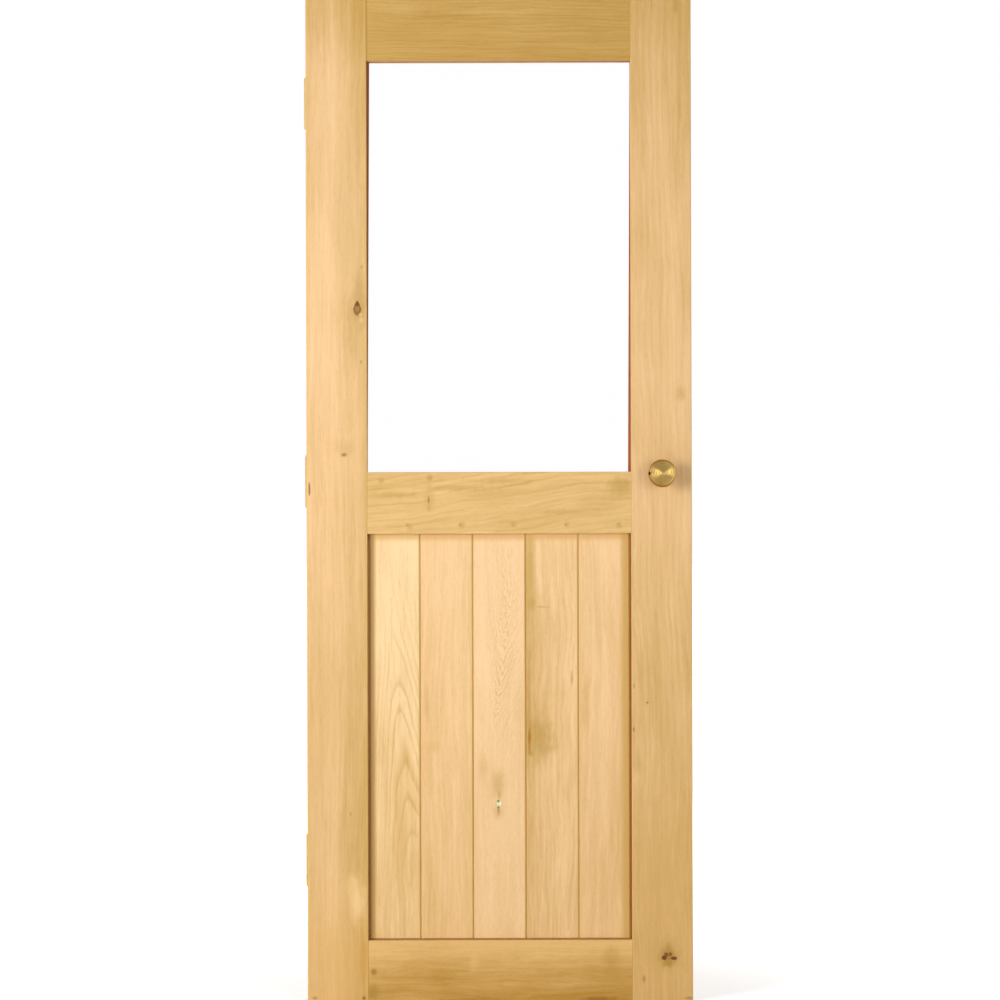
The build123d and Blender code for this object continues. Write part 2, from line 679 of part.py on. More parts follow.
def hinge_screw_places(height, side):
    """A plate's screws on planes whose normals leave the plate's inner face; side is 1 on the leaf."""
    face = HINGE_X + side * HINGE_GAP / 2
    places = []
    for across, along in zip(HINGE_SCREW_ACROSS_SHARES, HINGE_SCREW_ALONG_SHARES):
        for up in (-1, 1):
            origin = (face, BACK - HINGE_REACH * across, height + up * HINGE_LENGTH * along)
            places.append(Plane(origin=origin, x_dir=(0, 1, 0), z_dir=(-side, 0, 0)))
    return places


def hinge_plate(height, side):
    """One plate of a hinge with its knuckles; side is 1 on the leaf, -1 on the wall, swung open."""
    inner = HINGE_X + side * HINGE_GAP / 2
    outer = inner + side * HINGE_THICKNESS
    x0, x1 = sorted((inner, outer))
    bottom = height - HINGE_LENGTH / 2
    plate = block(x0, x1, HINGE_FRONT, BACK, bottom, bottom + HINGE_LENGTH)
    start = 1 if side > 0 else 0
    for index in range(start, KNUCKLE_COUNT, 2):
        low = bottom + index * KNUCKLE_PITCH + KNUCKLE_GAP / 2
        high = low + KNUCKLE_PITCH - KNUCKLE_GAP
        plate += upright(HINGE_X, HINGE_Y) * rod(KNUCKLE_RADIUS, low, high)
        plate += block(x0, x1, BACK, HINGE_Y, low, high)
    plate -= upright(HINGE_X, HINGE_Y) * rod(
        HINGE_PIN_RADIUS + HINGE_PIN_FIT, bottom - OVERRUN, bottom + HINGE_LENGTH + OVERRUN
    )
    depth = HINGE_THICKNESS + OVERRUN
    cutter = screw_hole(HINGE_SCREW_RADIUS, HINGE_SCREW_HEAD_RADIUS, depth, HINGE_HOLE_FIT)
    for place in hinge_screw_places(height, side):
        plate -= place * cutter
    if side < 0:
        plate = plate.rotate(Axis((HINGE_X, HINGE_Y, 0), (0, 0, 1)), HINGE_REST_TURN)
    return plate


def hinge_pin(height):
    """A hinge's pin with a bevelled tip above and below the knuckles."""
    half = HINGE_LENGTH / 2
    pin = rod(HINGE_PIN_RADIUS, -half, half)
    tip = turned_points(
        (0, 0),
        (HINGE_TIP_RADIUS, 0),
        (HINGE_TIP_RADIUS, HINGE_TIP_HEIGHT - HINGE_TIP_BEVEL),
        (HINGE_TIP_RADIUS - HINGE_TIP_BEVEL, HINGE_TIP_HEIGHT),
        (0, HINGE_TIP_HEIGHT),
    )
    pin += Pos(0, 0, half) * tip
    pin += Pos(0, 0, -half) * Rot(180, 0, 0) * tip
    return upright(HINGE_X, HINGE_Y) * Pos(0, 0, height) * pin


def hinge_screws():
    """The screws of the three plates on the leaf."""
    one = screw(HINGE_SCREW_RADIUS, HINGE_SCREW_HEAD_RADIUS, HINGE_SCREW_LENGTH)
    return [
        place * one for height in HINGE_HEIGHTS.values() for place in hinge_screw_places(height, 1)
    ]


def hinge_room():
    """What is cut from the hinge stile for the plates and their screws."""
    pilot = rod(HINGE_SCREW_RADIUS + SCREW_FIT, -HINGE_SCREW_LENGTH, 0)
    cutters = []
    for height in HINGE_HEIGHTS.values():
        half = HINGE_LENGTH / 2 + HINGE_RECESS_FIT
        cutters.append(
            block(
                -HALF_WIDTH - OVERRUN,
                -HALF_WIDTH + HINGE_THICKNESS,
                HINGE_FRONT - HINGE_RECESS_FIT,
                BACK + OVERRUN,
                height - half,
                height + half,
            )
        )
        cutters += [place * pilot for place in hinge_screw_places(height, 1)]
    return cutters


# Stiles and rails

def stile(side):
    """An upright: side is -1 at the hinges and 1 at the lock."""
    x0, x1 = sorted((side * HALF_WIDTH, side * HALF_OPENING))
    body = block(x0, x1, FRONT, BACK, 0, LEAF_HEIGHT)
    by_side = body.edges().filter_by(Axis.Z).group_by(Axis.X)
    outer_edges = by_side[-1] if side > 0 else by_side[0]
    body = fillet(outer_edges, EDGE_ROUND)
    inner_edges = body.edges().filter_by(Axis.Z).group_by(Axis.X)
    body = chamfer(inner_edges[0] if side > 0 else inner_edges[-1], ARRIS)
    body -= [rebate(), panel_groove()]
    for low, high in TENON_HEIGHTS.values():
        body -= tenons(low, high, MORTISE_FIT, GLUE_GAP)
    body -= bead_pins("lock_side" if side > 0 else "hinge_side", BEAD_PIN_FIT)
    body -= latch_room() if side > 0 else hinge_room()
    return body


def rail(name, low, high):
    """A cross member with its two tenons, before it is cut for what it holds."""
    body = block(-HALF_OPENING, HALF_OPENING, FRONT, BACK, low, high)
    body = chamfer(body.edges().filter_by(Axis.X), ARRIS)
    return body + tenons(*TENON_HEIGHTS[name], 0, 0)


def top_rail():
    """The rail above the pane."""
    body = rail("top_rail", TOP_RAIL_BOTTOM, LEAF_HEIGHT)
    return body - rebate() - bead_pins("top", BEAD_PIN_FIT)


def mid_rail():
    """The rail below the pane, which houses and pegs the tops of the boards."""
    body = rail("mid_rail", MID_RAIL_BOTTOM, MID_RAIL_TOP)
    return body - rebate() - board_housing() - bead_pins("bottom", BEAD_PIN_FIT) - pegs(PEG_FIT)


def bottom_rail():
    """The rail at the foot of the leaf."""
    return rail("bottom_rail", 0, BOTTOM_RAIL_WIDTH) - panel_groove()


def all_nodes():
    """Every piece of the door by name; a list is a group of like pieces."""
    nodes = {
        "hinge_stile": stile(-1),
        "lock_stile": stile(1),
        "top_rail": top_rail(),
        "mid_rail": mid_rail(),
        "bottom_rail": bottom_rail(),
        "board_pegs": pegs(0),
        "glass_pane": block(-PANE_X, PANE_X, PANE_FRONT, PANE_BACK, PANE_BOTTOM, PANE_TOP),
        "glazing_tape_front": pane_ring(
            PANE_FRONT - TAPE_THICKNESS, PANE_FRONT, TAPE_SHOW, TAPE_TOP_SHOW, TAPE_LEAN
        ),
        "glazing_tape_back": pane_ring(PANE_BACK, BEAD_FRONT, 0, 0, 0),
        "setting_blocks": setting_blocks(),
        "bead_pins": [pin for side in BEADS for pin in bead_pins(side, 0)],
        "knob_front": knob(-1),
        "knob_back": knob(1),
        "knob_grub_screws": [knob_plane(side) * grub_screw() for side in (-1, 1)],
        "rose_front": rose(-1),
        "rose_back": rose(1),
        "rose_screws": rose_screws(),
        "spindle": spindle(),
        "latch_case": latch_case(),
        "latch_forend": latch_forend(),
        "latch_screws": latch_screws(),
        "latch_follower": latch_follower(),
        "latch_bolt": latch_bolt(),
        "latch_spring": latch_spring(),
        "hinge_screws": hinge_screws(),
    }
    for index in range(BOARD_COUNT):
        nodes[f"panel_board_{index + 1}"] = panel_board(index)
    for side in BEADS:
        nodes[f"glazing_bead_{side}"] = glazing_bead(side)
    for name, height in HINGE_HEIGHTS.items():
        nodes[f"hinge_{name}_leaf_plate"] = hinge_plate(height, 1)
        nodes[f"hinge_{name}_frame_plate"] = hinge_plate(height, -1)
        nodes[f"hinge_{name}_pin"] = hinge_pin(height)
    return nodes


os.makedirs("parts", exist_ok=True)
for node, shape in all_nodes().items():
    pieces = shape if isinstance(shape, list) else [shape]
    solids = [solid for piece in pieces for solid in piece.solids()]
    export_step(solids[0] if len(solids) == 1 else Compound(solids), f"parts/{node}.step")
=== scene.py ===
# %% [markdown]
# # A half-glazed oak door
# This lesson dresses a door leaf that already has all its pieces at their true size: stiles, rails,
# boards, pane, knobs, latch and hinges. What is left to do is what the eye reads first, the finish.
# The first cell loads the leaf as a fixed frame and defines a way to read each piece's box.

# %% Load the leaf and read its boxes
import json
import math

import bmesh
import bpy
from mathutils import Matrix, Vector


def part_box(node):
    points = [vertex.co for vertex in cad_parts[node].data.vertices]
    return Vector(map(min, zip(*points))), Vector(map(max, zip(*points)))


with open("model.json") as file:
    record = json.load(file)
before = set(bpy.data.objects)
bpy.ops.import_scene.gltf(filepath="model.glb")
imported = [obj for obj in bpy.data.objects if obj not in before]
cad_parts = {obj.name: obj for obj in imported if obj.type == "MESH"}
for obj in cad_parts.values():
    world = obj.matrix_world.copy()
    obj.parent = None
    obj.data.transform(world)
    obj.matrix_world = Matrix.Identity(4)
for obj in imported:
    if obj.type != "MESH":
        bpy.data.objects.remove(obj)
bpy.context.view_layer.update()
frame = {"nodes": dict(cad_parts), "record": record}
nodes = frame["nodes"]

# %% [markdown]
# ## Places on the leaf
# A finish that follows the piece needs to know where the piece is. The opening, the rails and the boards
# are read from the pieces themselves, so that a leaf of another size would be dressed the same way.

# %% Read the places that the finishes need
X, Y, Z = 0, 1, 2
leaf_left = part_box("hinge_stile")[0].x
leaf_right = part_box("lock_stile")[1].x
leaf_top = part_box("hinge_stile")[1].z
leaf_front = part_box("hinge_stile")[0].y
opening_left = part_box("hinge_stile")[1].x
opening_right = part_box("lock_stile")[0].x
top_rail_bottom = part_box("top_rail")[0].z
mid_rail_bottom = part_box("mid_rail")[0].z
mid_rail_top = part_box("mid_rail")[1].z
bottom_rail_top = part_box("bottom_rail")[1].z
knob_low, knob_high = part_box("knob_front")
knob_axis = ((knob_low.x + knob_high.x) / 2, (knob_low.z + knob_high.z) / 2)
knob_radius = (knob_high.x - knob_low.x) / 2
BOARD_COUNT = 5
board_pitch = (opening_right - opening_left) / BOARD_COUNT
print("opening", round(opening_left, 4), "to", round(opening_right, 4), "board pitch", round(board_pitch, 4))

# %% [markdown]
# ## Camera
# The leaf is seen square on and fills the picture from top to bottom. A lens can be long and far or short
# and near; here very little of the reveals shows, which fits a camera about six metres away. The leaf
# leans by a hair in the photograph, so the camera is rolled by as much. The focal length follows from the
# height that the picture has to take in. One function turns a pixel of the photograph into a place on the
# front face, because the marks in the wood were found there.

# %% Place the camera
CAMERA_DISTANCE = 6.0
CAMERA_ROLL = 0.15
PICTURE_HEIGHT_SHARE = 0.998
SENSOR_WIDTH = 36.0
PHOTO_SIZE = 1000
PHOTO_MIDDLE = 499.2
picture_height = leaf_top * PICTURE_HEIGHT_SHARE
metres_per_pixel = picture_height / PHOTO_SIZE
photo_lean = math.tan(math.radians(CAMERA_ROLL))
camera_data = bpy.data.cameras.new("door_camera")
camera_data.sensor_width = SENSOR_WIDTH
camera_data.lens = SENSOR_WIDTH * CAMERA_DISTANCE / picture_height
camera = bpy.data.objects.new("door_camera", camera_data)
camera_side = (PHOTO_SIZE / 2 - PHOTO_MIDDLE) * metres_per_pixel
camera.location = (camera_side, leaf_front - CAMERA_DISTANCE, leaf_top / 2)
camera.rotation_euler = (math.radians(90), math.radians(CAMERA_ROLL), 0)
bpy.context.scene.collection.objects.link(camera)
bpy.context.scene.camera = camera


def photo_place(across, down):
    """The place on the leaf that a pixel of the photograph shows."""
    side = (across - PHOTO_MIDDLE) * metres_per_pixel
    rise = (PHOTO_SIZE / 2 - down) * metres_per_pixel
    return (side + rise * photo_lean, 0, leaf_top / 2 + rise - side * photo_lean)


print("lens", round(camera_data.lens, 1), "mm, one pixel is", round(metres_per_pixel * 1000, 3), "mm")

# %% [markdown]
# ## Short ways to build nodes
# A shader is a tree of small nodes. Adding each one by hand takes many lines, so these helpers add a node,
# set it, and link or fill its inputs in one call. Each of them hands back the output that comes next.

# %% Helpers for nodes and sums
def fill(tree, node, inputs):
    """Sets or links a node's inputs: each is a value or the output of another node."""
    for key, value in inputs.items():
        if isinstance(value, bpy.types.NodeSocket):
            tree.links.new(value, node.inputs[key])
        else:
            node.inputs[key].default_value = value


def add_node(tree, kind, inputs=None, **settings):
    """Adds one node with its options and inputs."""
    node = tree.nodes.new(kind)
    for name, value in settings.items():
        setattr(node, name, value)
    fill(tree, node, inputs or {})
    return node


def number(tree, operation, *values):
    """One sum on numbers."""
    return add_node(tree, "ShaderNodeMath", dict(enumerate(values)), operation=operation).outputs[0]


def vector(tree, operation, *values):
    """One sum on vectors."""
    return add_node(tree, "ShaderNodeVectorMath", dict(enumerate(values)), operation=operation).outputs[0]


def scale(tree, value, factor):
    """A vector made longer or shorter."""
    return add_node(tree, "ShaderNodeVectorMath", {0: value, "Scale": factor}, operation="SCALE").outputs[0]


def split(tree, value):
    """The three numbers of a vector."""
    return add_node(tree, "ShaderNodeSeparateXYZ", {0: value}).outputs


def distance(tree, first, second):
    """How far off a point is that lies two numbers away, at right angles."""
    squares = number(tree, "ADD", number(tree, "POWER", first, 2), number(tree, "POWER", second, 2))
    return number(tree, "SQRT", squares)


def fade(tree, value, start, end):
    """A soft step from 0 at start to 1 at end; it falls where end is the lower one."""
    inputs = {"Value": value, "From Min": start, "From Max": end}
    return add_node(tree, "ShaderNodeMapRange", inputs, interpolation_type="SMOOTHSTEP").outputs["Result"]


def noise(tree, place, stretch, detail=3.0, output="Fac"):
    """Noise whose lumps are finer along an axis where its stretch is larger."""
    scaled = vector(tree, "MULTIPLY", place, stretch)
    inputs = {"Vector": scaled, "Scale": 1.0, "Detail": detail}
    return add_node(tree, "ShaderNodeTexNoise", inputs).outputs[output]


# %% [markdown]
# ## Colours, groups and materials
# Colours are easiest to judge on a paint chart, from 0 to 255, but shaders mix light, so a chart value has to
# be turned to linear light first. What several finishes share goes into a node group with named sockets. It
# could be copied into each material instead, but then a change would have to be made many times.

# %% Helpers for colours, groups and materials
def mix_colour(tree, factor, first, second, blend="MIX"):
    """Two colours mixed by a factor."""
    inputs = {0: factor, 6: first, 7: second}
    return add_node(tree, "ShaderNodeMix", inputs, data_type="RGBA", blend_type=blend).outputs[2]


def stops(tree, value, points):
    """A value read off a few given stops, each a place from 0 to 1 and the value there."""
    node = add_node(tree, "ShaderNodeValToRGB", {"Fac": value})
    elements = node.color_ramp.elements
    node.color_ramp.interpolation = "EASE"
    for _ in points[2:]:
        elements.new(1.0)
    for element, (place, level) in zip(elements, points):
        element.position = place
        element.color = (level, level, level, 1)
    return node.outputs["Color"]


def paint(red, green, blue):
    """A colour as a paint chart gives it, from 0 to 255, turned to the linear light that shaders mix."""
    linear = []
    for channel in (red, green, blue):
        share = channel / 255
        linear.append(share / 12.92 if share <= 0.04045 else ((share + 0.055) / 1.055) ** 2.4)
    return (*linear, 1)


def new_group(name, inputs, outputs):
    """A shader node group with named sockets, the sockets it starts from and the node it ends in."""
    group = bpy.data.node_groups.new(name, "ShaderNodeTree")
    for way, sockets in (("INPUT", inputs), ("OUTPUT", outputs)):
        for socket, kind in sockets.items():
            group.interface.new_socket(name=socket, in_out=way, socket_type="NodeSocket" + kind)
    return group, group.nodes.new("NodeGroupInput").outputs, group.nodes.new("NodeGroupOutput")


def use_group(tree, group, inputs):
    """One use of a group with its own values."""
    node = tree.nodes.new("ShaderNodeGroup")
    node.node_tree = group
    fill(tree, node, inputs)
    return node.outputs


def new_material(name):
    """A material with one Principled shader, its tree, and the place that it paints."""
    material = bpy.data.materials.new(name)
    material.use_nodes = True
    tree = material.node_tree
    place = add_node(tree, "ShaderNodeTexCoord").outputs["Object"]
    return material, tree, tree.nodes["Principled BSDF"], place


print("white as linear light:", paint(255, 255, 255))


# %% [markdown]
# ## Growth rings
# Oak shows its years as rings round the pith. A plank is a slice through that, so a true grain is not
# drawn on the face: it is a solid pattern that the face cuts. Rings are the distance from a pith line,
# and because a trunk tapers, the distance also grows along the grain, which gives the arches on a flat-sawn
# board. No tree grows ruler straight: a first group makes the grain wander slowly and, in curly wood, curl in
# short waves. Good and bad years make the rings uneven.

# %% Groups: wandering grain and growth rings
QUICK_SHARE = 0.14
SEASON_SWING = 0.012


def grain_flow():
    group, start, end = new_group(
        "grain_flow", {"Vector": "Vector", "Wander": "Float", "Curl": "Float"}, {"Flow": "Vector"}
    )
    place = start["Vector"]
    half = (0.5, 0.5, 0.5)
    slow = vector(group, "SUBTRACT", noise(group, place, (9, 9, 2.2), 2, "Color"), half)
    quick = vector(group, "SUBTRACT", noise(group, place, (48, 48, 15), 2, "Color"), half)
    curl = vector(group, "SUBTRACT", noise(group, place, (120, 120, 70), 2, "Color"), half)
    sway = scale(group, vector(group, "ADD", slow, scale(group, quick, QUICK_SHARE)), start["Wander"])
    sway = vector(group, "ADD", sway, scale(group, curl, start["Curl"]))
    fill(group, end, {"Flow": vector(group, "ADD", place, sway)})
    return group


def growth_rings():
    group, start, end = new_group(
        "growth_rings",
        {"Vector": "Vector", "Pith": "Vector", "Taper": "Float", "Ring Width": "Float"},
        {"Early Wood": "Float", "Year Tone": "Float"},
    )
    from_pith = split(group, vector(group, "SUBTRACT", start["Vector"], start["Pith"]))
    along = number(group, "MULTIPLY", from_pith[Z], start["Taper"])
    reach = number(group, "ADD", distance(group, from_pith[X], from_pith[Y]), along)
    seasons = noise(group, add_node(group, "ShaderNodeCombineXYZ", {0: reach}).outputs[0], (75, 1, 1), 1)
    uneven = number(group, "MULTIPLY_ADD", seasons, SEASON_SWING, reach)
    years = number(group, "DIVIDE", uneven, start["Ring Width"])
    season = number(group, "FRACT", years)
    early = number(group, "MAXIMUM", fade(group, season, 0.45, 0.0), fade(group, season, 0.86, 1.0))
    tone = add_node(
        group, "ShaderNodeTexWhiteNoise", {"W": number(group, "FLOOR", years)}, noise_dimensions="1D"
    )
    fill(group, end, {"Early Wood": early, "Year Tone": tone.outputs["Value"]})
    return group


flow_group = grain_flow()
rings_group = growth_rings()
print("groups", flow_group.name, rings_group.name)

# %% [markdown]
# ## Fibres, pores and clouds
# Between the rings, oak has long streaks of tone, fine fibres, and open pores that show as short dashes.
# All of them are noise, drawn out along the grain by as much as the real thing is. Broad clouds add the
# slow change of tone that no two boards share.

# %% Group: fibres, pores and clouds
# How many lumps of noise there are to a metre across, through and along the grain
BROAD_STREAKS = (44, 44, 2.2)
NARROW_STREAKS = (190, 190, 7)
FINE_FIBRES = (560, 560, 24)
PORE_DASHES = (1500, 1500, 60)
TONE_CLOUDS = (13, 13, 5)


def oak_fibre():
    group, start, end = new_group(
        "oak_fibre",
        {"Vector": "Vector"},
        {"Streaks": "Float", "Fibres": "Float", "Pores": "Float", "Clouds": "Float"},
    )
    place = start["Vector"]
    broad = noise(group, place, BROAD_STREAKS)
    narrow = noise(group, place, NARROW_STREAKS)
    streaks = number(group, "MULTIPLY_ADD", narrow, 0.5, number(group, "MULTIPLY", broad, 0.5))
    fibres = noise(group, place, FINE_FIBRES)
    pores = fade(group, noise(group, place, PORE_DASHES, 1), 0.60, 0.72)
    clouds = noise(group, place, TONE_CLOUDS)
    fill(group, end, {"Streaks": streaks, "Fibres": fibres, "Pores": pores, "Clouds": clouds})
    return group


fibre_group = oak_fibre()
print("group", fibre_group.name)

# %% [markdown]
# ## Patches, knots and marks
# Wood is stained in soft patches: a pale flame, an olive shadow, a golden corner. One group measures how
# far a point is inside such a patch. A knot is the foot of a branch: a brown core with a darker rim, and
# grain that parts to flow round it. A second group gives its masks and the push that the rings need; a
# point above 0 draws its top out to a tip. A small mark is the same thing with a small size.

# %% Groups: patch and knot
PATCH_RAGGED = 0.7
KNOT_RAGGED = 0.65
KNOT_PUSH = 0.75


def soft_patch():
    group, start, end = new_group(
        "soft_patch", {"Vector": "Vector", "Place": "Vector", "Size": "Vector"}, {"Mask": "Float"}
    )
    offset = vector(group, "SUBTRACT", start["Vector"], start["Place"])
    scaled = split(group, vector(group, "DIVIDE", offset, start["Size"]))
    ragged = number(group, "SUBTRACT", noise(group, start["Vector"], (90, 90, 40), 2), 0.5)
    away = number(group, "MULTIPLY_ADD", ragged, PATCH_RAGGED, distance(group, scaled[X], scaled[Z]))
    fill(group, end, {"Mask": fade(group, away, 1.0, 0.05)})
    return group


def oak_knot():
    group, start, end = new_group(
        "oak_knot",
        {"Vector": "Vector", "Place": "Vector", "Size": "Vector", "Point": "Float", "Across": "Vector"},
        {"Core": "Float", "Rim": "Float", "Push": "Vector"},
    )
    offset = vector(group, "SUBTRACT", start["Vector"], start["Place"])
    scaled = split(group, vector(group, "DIVIDE", offset, start["Size"]))
    tip = number(group, "MULTIPLY", number(group, "MAXIMUM", scaled[Z], 0.0), start["Point"])
    wide = number(group, "MULTIPLY", scaled[X], number(group, "ADD", tip, 1.0))
    ragged = number(group, "SUBTRACT", noise(group, start["Vector"], (420, 420, 300), 3), 0.5)
    away = number(group, "MULTIPLY_ADD", ragged, KNOT_RAGGED, distance(group, wide, scaled[Z]))
    core = fade(group, away, 1.15, 0.55)
    rim = number(group, "MULTIPLY", fade(group, away, 0.4, 0.85), fade(group, away, 1.25, 0.9))
    near = scale(group, vector(group, "MULTIPLY", offset, start["Across"]), fade(group, away, 3.4, 0.7))
    fill(group, end, {"Core": core, "Rim": rim, "Push": scale(group, near, -KNOT_PUSH)})
    return group


patch_group = soft_patch()
knot_group = oak_knot()
print("groups", patch_group.name, knot_group.name)

# %% [markdown]
# ## Shade in the corners
# Where boards meet, under the edge of a rail and beside the stiles, shade is painted into the colour, so those
# places are browner than the faces. The group says how near a point is to one line of the leaf, and a material
# tints by that.

# %% Group: band along an edge
def edge_band():
    group, start, end = new_group(
        "edge_band", {"Value": "Float", "Edge": "Float", "Width": "Float"}, {"Mask": "Float"}
    )
    away = number(group, "ABSOLUTE", number(group, "SUBTRACT", start["Value"], start["Edge"]))
    fill(group, end, {"Mask": fade(group, number(group, "DIVIDE", away, start["Width"]), 1.0, 0.15)})
    return group


band_group = edge_band()
print("group", band_group.name)

# %% [markdown]
# ## Oak, one member at a time
# Every stile, rail and board was sawn from its own plank, so each has its own pith, ring width, tone and
# marks. One function turns such a short list into a finish: it bends the grain round the knots, cuts the
# rings, mixes a pale and a deep tone, and lays patches, pores, knots and corner shade over that.
# The pores and the rings also give a fine relief and a change of gloss.

# %% Oak finish
UP, ALONG = "up", "along"
ACROSS = {UP: (1, 0, 0), ALONG: (0, 0, 1)}
KNOT_BROWN = paint(152, 104, 46)
RIM_BROWN = paint(104, 64, 36)
PORE_TINT = paint(206, 164, 100)
PORE_DEPTH = 0.22
RIM_SHARE = 0.7
FIBRE_DEPTH = 0.3
YEAR_TONE_SHARE = 0.35
OAK_SHEEN = 0.25
OAK_ROUGHNESS = 0.42
STREAK_ROUGHNESS = 0.1
PORE_ROUGHNESS = 0.2
FIBRE_RELIEF = 0.5
RING_RELIEF = 0.2


def mark(place, where, size):
    """A mark's middle and half its size, from pixels, as inputs; it runs right through the wood."""
    half = (size[0] / 2 * metres_per_pixel, 1, size[1] / 2 * metres_per_pixel)
    return {"Vector": place, "Place": photo_place(*where), "Size": half}


def pith_through(across, down, depth, lean):
    """Where a leaning pith line behind a pixel of the photograph lies once it is turned upright."""
    x, _, z = photo_place(across, down)
    turn = math.radians(lean)
    return (x * math.cos(turn) + z * math.sin(turn), depth, 0)


def oak(name, pale, deep, box, grain=UP, tilt=0.0, seed=0.0, pith=(0.3, 0.2, 0), lean=0.0, taper=0.0,
        ring_width=0.006, wander=0.012, curl=0.0, rings=0.1, figure=None, streaks=0.8, clouds=0.4,
        along=((0, 0.5), (1, 0.5)), across=((0, 0), (1, 0)), patches=(), knots=(), bands=()):
    """One plank's finish; along and across set how deep its tone is over its length and its width."""
    material, tree, shader, place = new_material(name)
    axes = split(tree, place)
    low, high = box

    marks = []
    bent = place
    for where, size, point, strength, core, rim in knots:
        inputs = {**mark(place, where, size), "Point": point, "Across": ACROSS[grain]}
        knot = use_group(tree, knot_group, inputs)
        marks.append((knot, strength, core, rim))
        bent = vector(tree, "ADD", bent, knot["Push"])

    turn = (0, math.radians(tilt + (90 if grain == ALONG else 0)), 0)
    mapped = add_node(tree, "ShaderNodeMapping", {"Vector": bent, "Rotation": turn}).outputs[0]
    flow = use_group(tree, flow_group, {"Vector": mapped, "Wander": wander, "Curl": curl})["Flow"]
    upright = (0, math.radians(lean), 0)
    cut = add_node(tree, "ShaderNodeMapping", {"Vector": flow, "Rotation": upright}).outputs[0]
    values = {"Vector": cut, "Pith": pith, "Taper": taper, "Ring Width": ring_width}
    years = use_group(tree, rings_group, values)
    fibre = use_group(tree, fibre_group, {"Vector": vector(tree, "ADD", flow, (seed, seed, seed))})

    shares = []
    for axis in ((Z, X) if grain == UP else (X, Z)):
        inputs = {"Value": axes[axis], "From Min": low[axis], "From Max": high[axis]}
        shares.append(add_node(tree, "ShaderNodeMapRange", inputs).outputs[0])
    # The along and across stops hold the plank's own tone and, on the stiles, the boards and the bottom rail,
    # painted light falloff towards the ends of the leaf
    depth = number(tree, "ADD", stops(tree, shares[0], along), stops(tree, shares[1], across))
    ring_depth = rings
    if figure:
        mask = use_group(tree, patch_group, mark(place, *figure))["Mask"]
        ring_depth = number(tree, "MULTIPLY", mask, rings)
    parts = (
        (fibre["Streaks"], 0.5, streaks),
        (fibre["Fibres"], 0.5, FIBRE_DEPTH),
        (fibre["Clouds"], 0.5, clouds),
        (years["Early Wood"], 0.3, ring_depth),
        (years["Year Tone"], 0.5, number(tree, "MULTIPLY", ring_depth, YEAR_TONE_SHARE)),
    )
    for value, middle, strength in parts:
        depth = number(tree, "MULTIPLY_ADD", number(tree, "SUBTRACT", value, middle), strength, depth)
    colour = mix_colour(tree, depth, pale, deep)
    for where, size, tint, strength in patches:
        mask = use_group(tree, patch_group, mark(place, where, size))["Mask"]
        colour = mix_colour(tree, number(tree, "MULTIPLY", mask, strength), colour, tint)
    pores = number(tree, "MULTIPLY", fibre["Pores"], PORE_DEPTH)
    colour = mix_colour(tree, pores, colour, PORE_TINT, "MULTIPLY")
    for knot, strength, core, rim in marks:
        colour = mix_colour(tree, number(tree, "MULTIPLY", knot["Core"], strength), colour, core)
        colour = mix_colour(tree, number(tree, "MULTIPLY", knot["Rim"], strength * RIM_SHARE), colour, rim)
    # The bands tint along edges; on the boards and over the opening they are painted shade and shadow
    for axis, edge, width, tint, strength in bands:
        band = use_group(tree, band_group, {"Value": axes[axis], "Edge": edge, "Width": width})
        colour = mix_colour(tree, number(tree, "MULTIPLY", band["Mask"], strength), colour, tint)

    rough = number(tree, "MULTIPLY_ADD", fibre["Streaks"], STREAK_ROUGHNESS, OAK_ROUGHNESS)
    rough = number(tree, "MULTIPLY_ADD", fibre["Pores"], PORE_ROUGHNESS, rough)
    relief = number(tree, "MULTIPLY", fibre["Fibres"], FIBRE_RELIEF)
    relief = number(tree, "MULTIPLY_ADD", fibre["Pores"], -1.0, relief)
    relief = number(tree, "MULTIPLY_ADD", years["Early Wood"], -RING_RELIEF, relief)
    bump = add_node(tree, "ShaderNodeBump", {"Height": relief, "Strength": 0.25, "Distance": 0.0004})
    fill(tree, shader, {
        "Base Color": colour, "Roughness": rough, "Normal": bump.outputs[0], "Specular IOR Level": OAK_SHEEN,
    })
    return material


def dress(node, material):
    """Gives a piece its finish."""
    mesh = nodes[node].data
    mesh.materials.clear()
    mesh.materials.append(material)


print("oak runs", UP, "or", ALONG)

# %% [markdown]
# ## The hinge stile
# The two uprights are straight-grained. The hinge stile is painted palest at half height and darker towards its
# top and foot, as the light falls off there, and it is palest on its outer two thirds, with one teardrop knot
# near the opening, a few small marks, and a pale flame with a golden corner near its foot. A picture of the
# wood could be laid on, but it would only fit this leaf and its light. So each stain is a row that holds its
# pixel in the photograph, its size in pixels, its tint and its strength. A knot's row has its pixel, its size,
# how pointed its top is, its strength, and the tints of core and rim.

# %% Dress the hinge stile
STILE_PALE = paint(250, 208, 156)
STILE_DEEP = paint(203, 162, 89)
WARM_EDGE = paint(236, 188, 116)
OLIVE = paint(196, 158, 88)
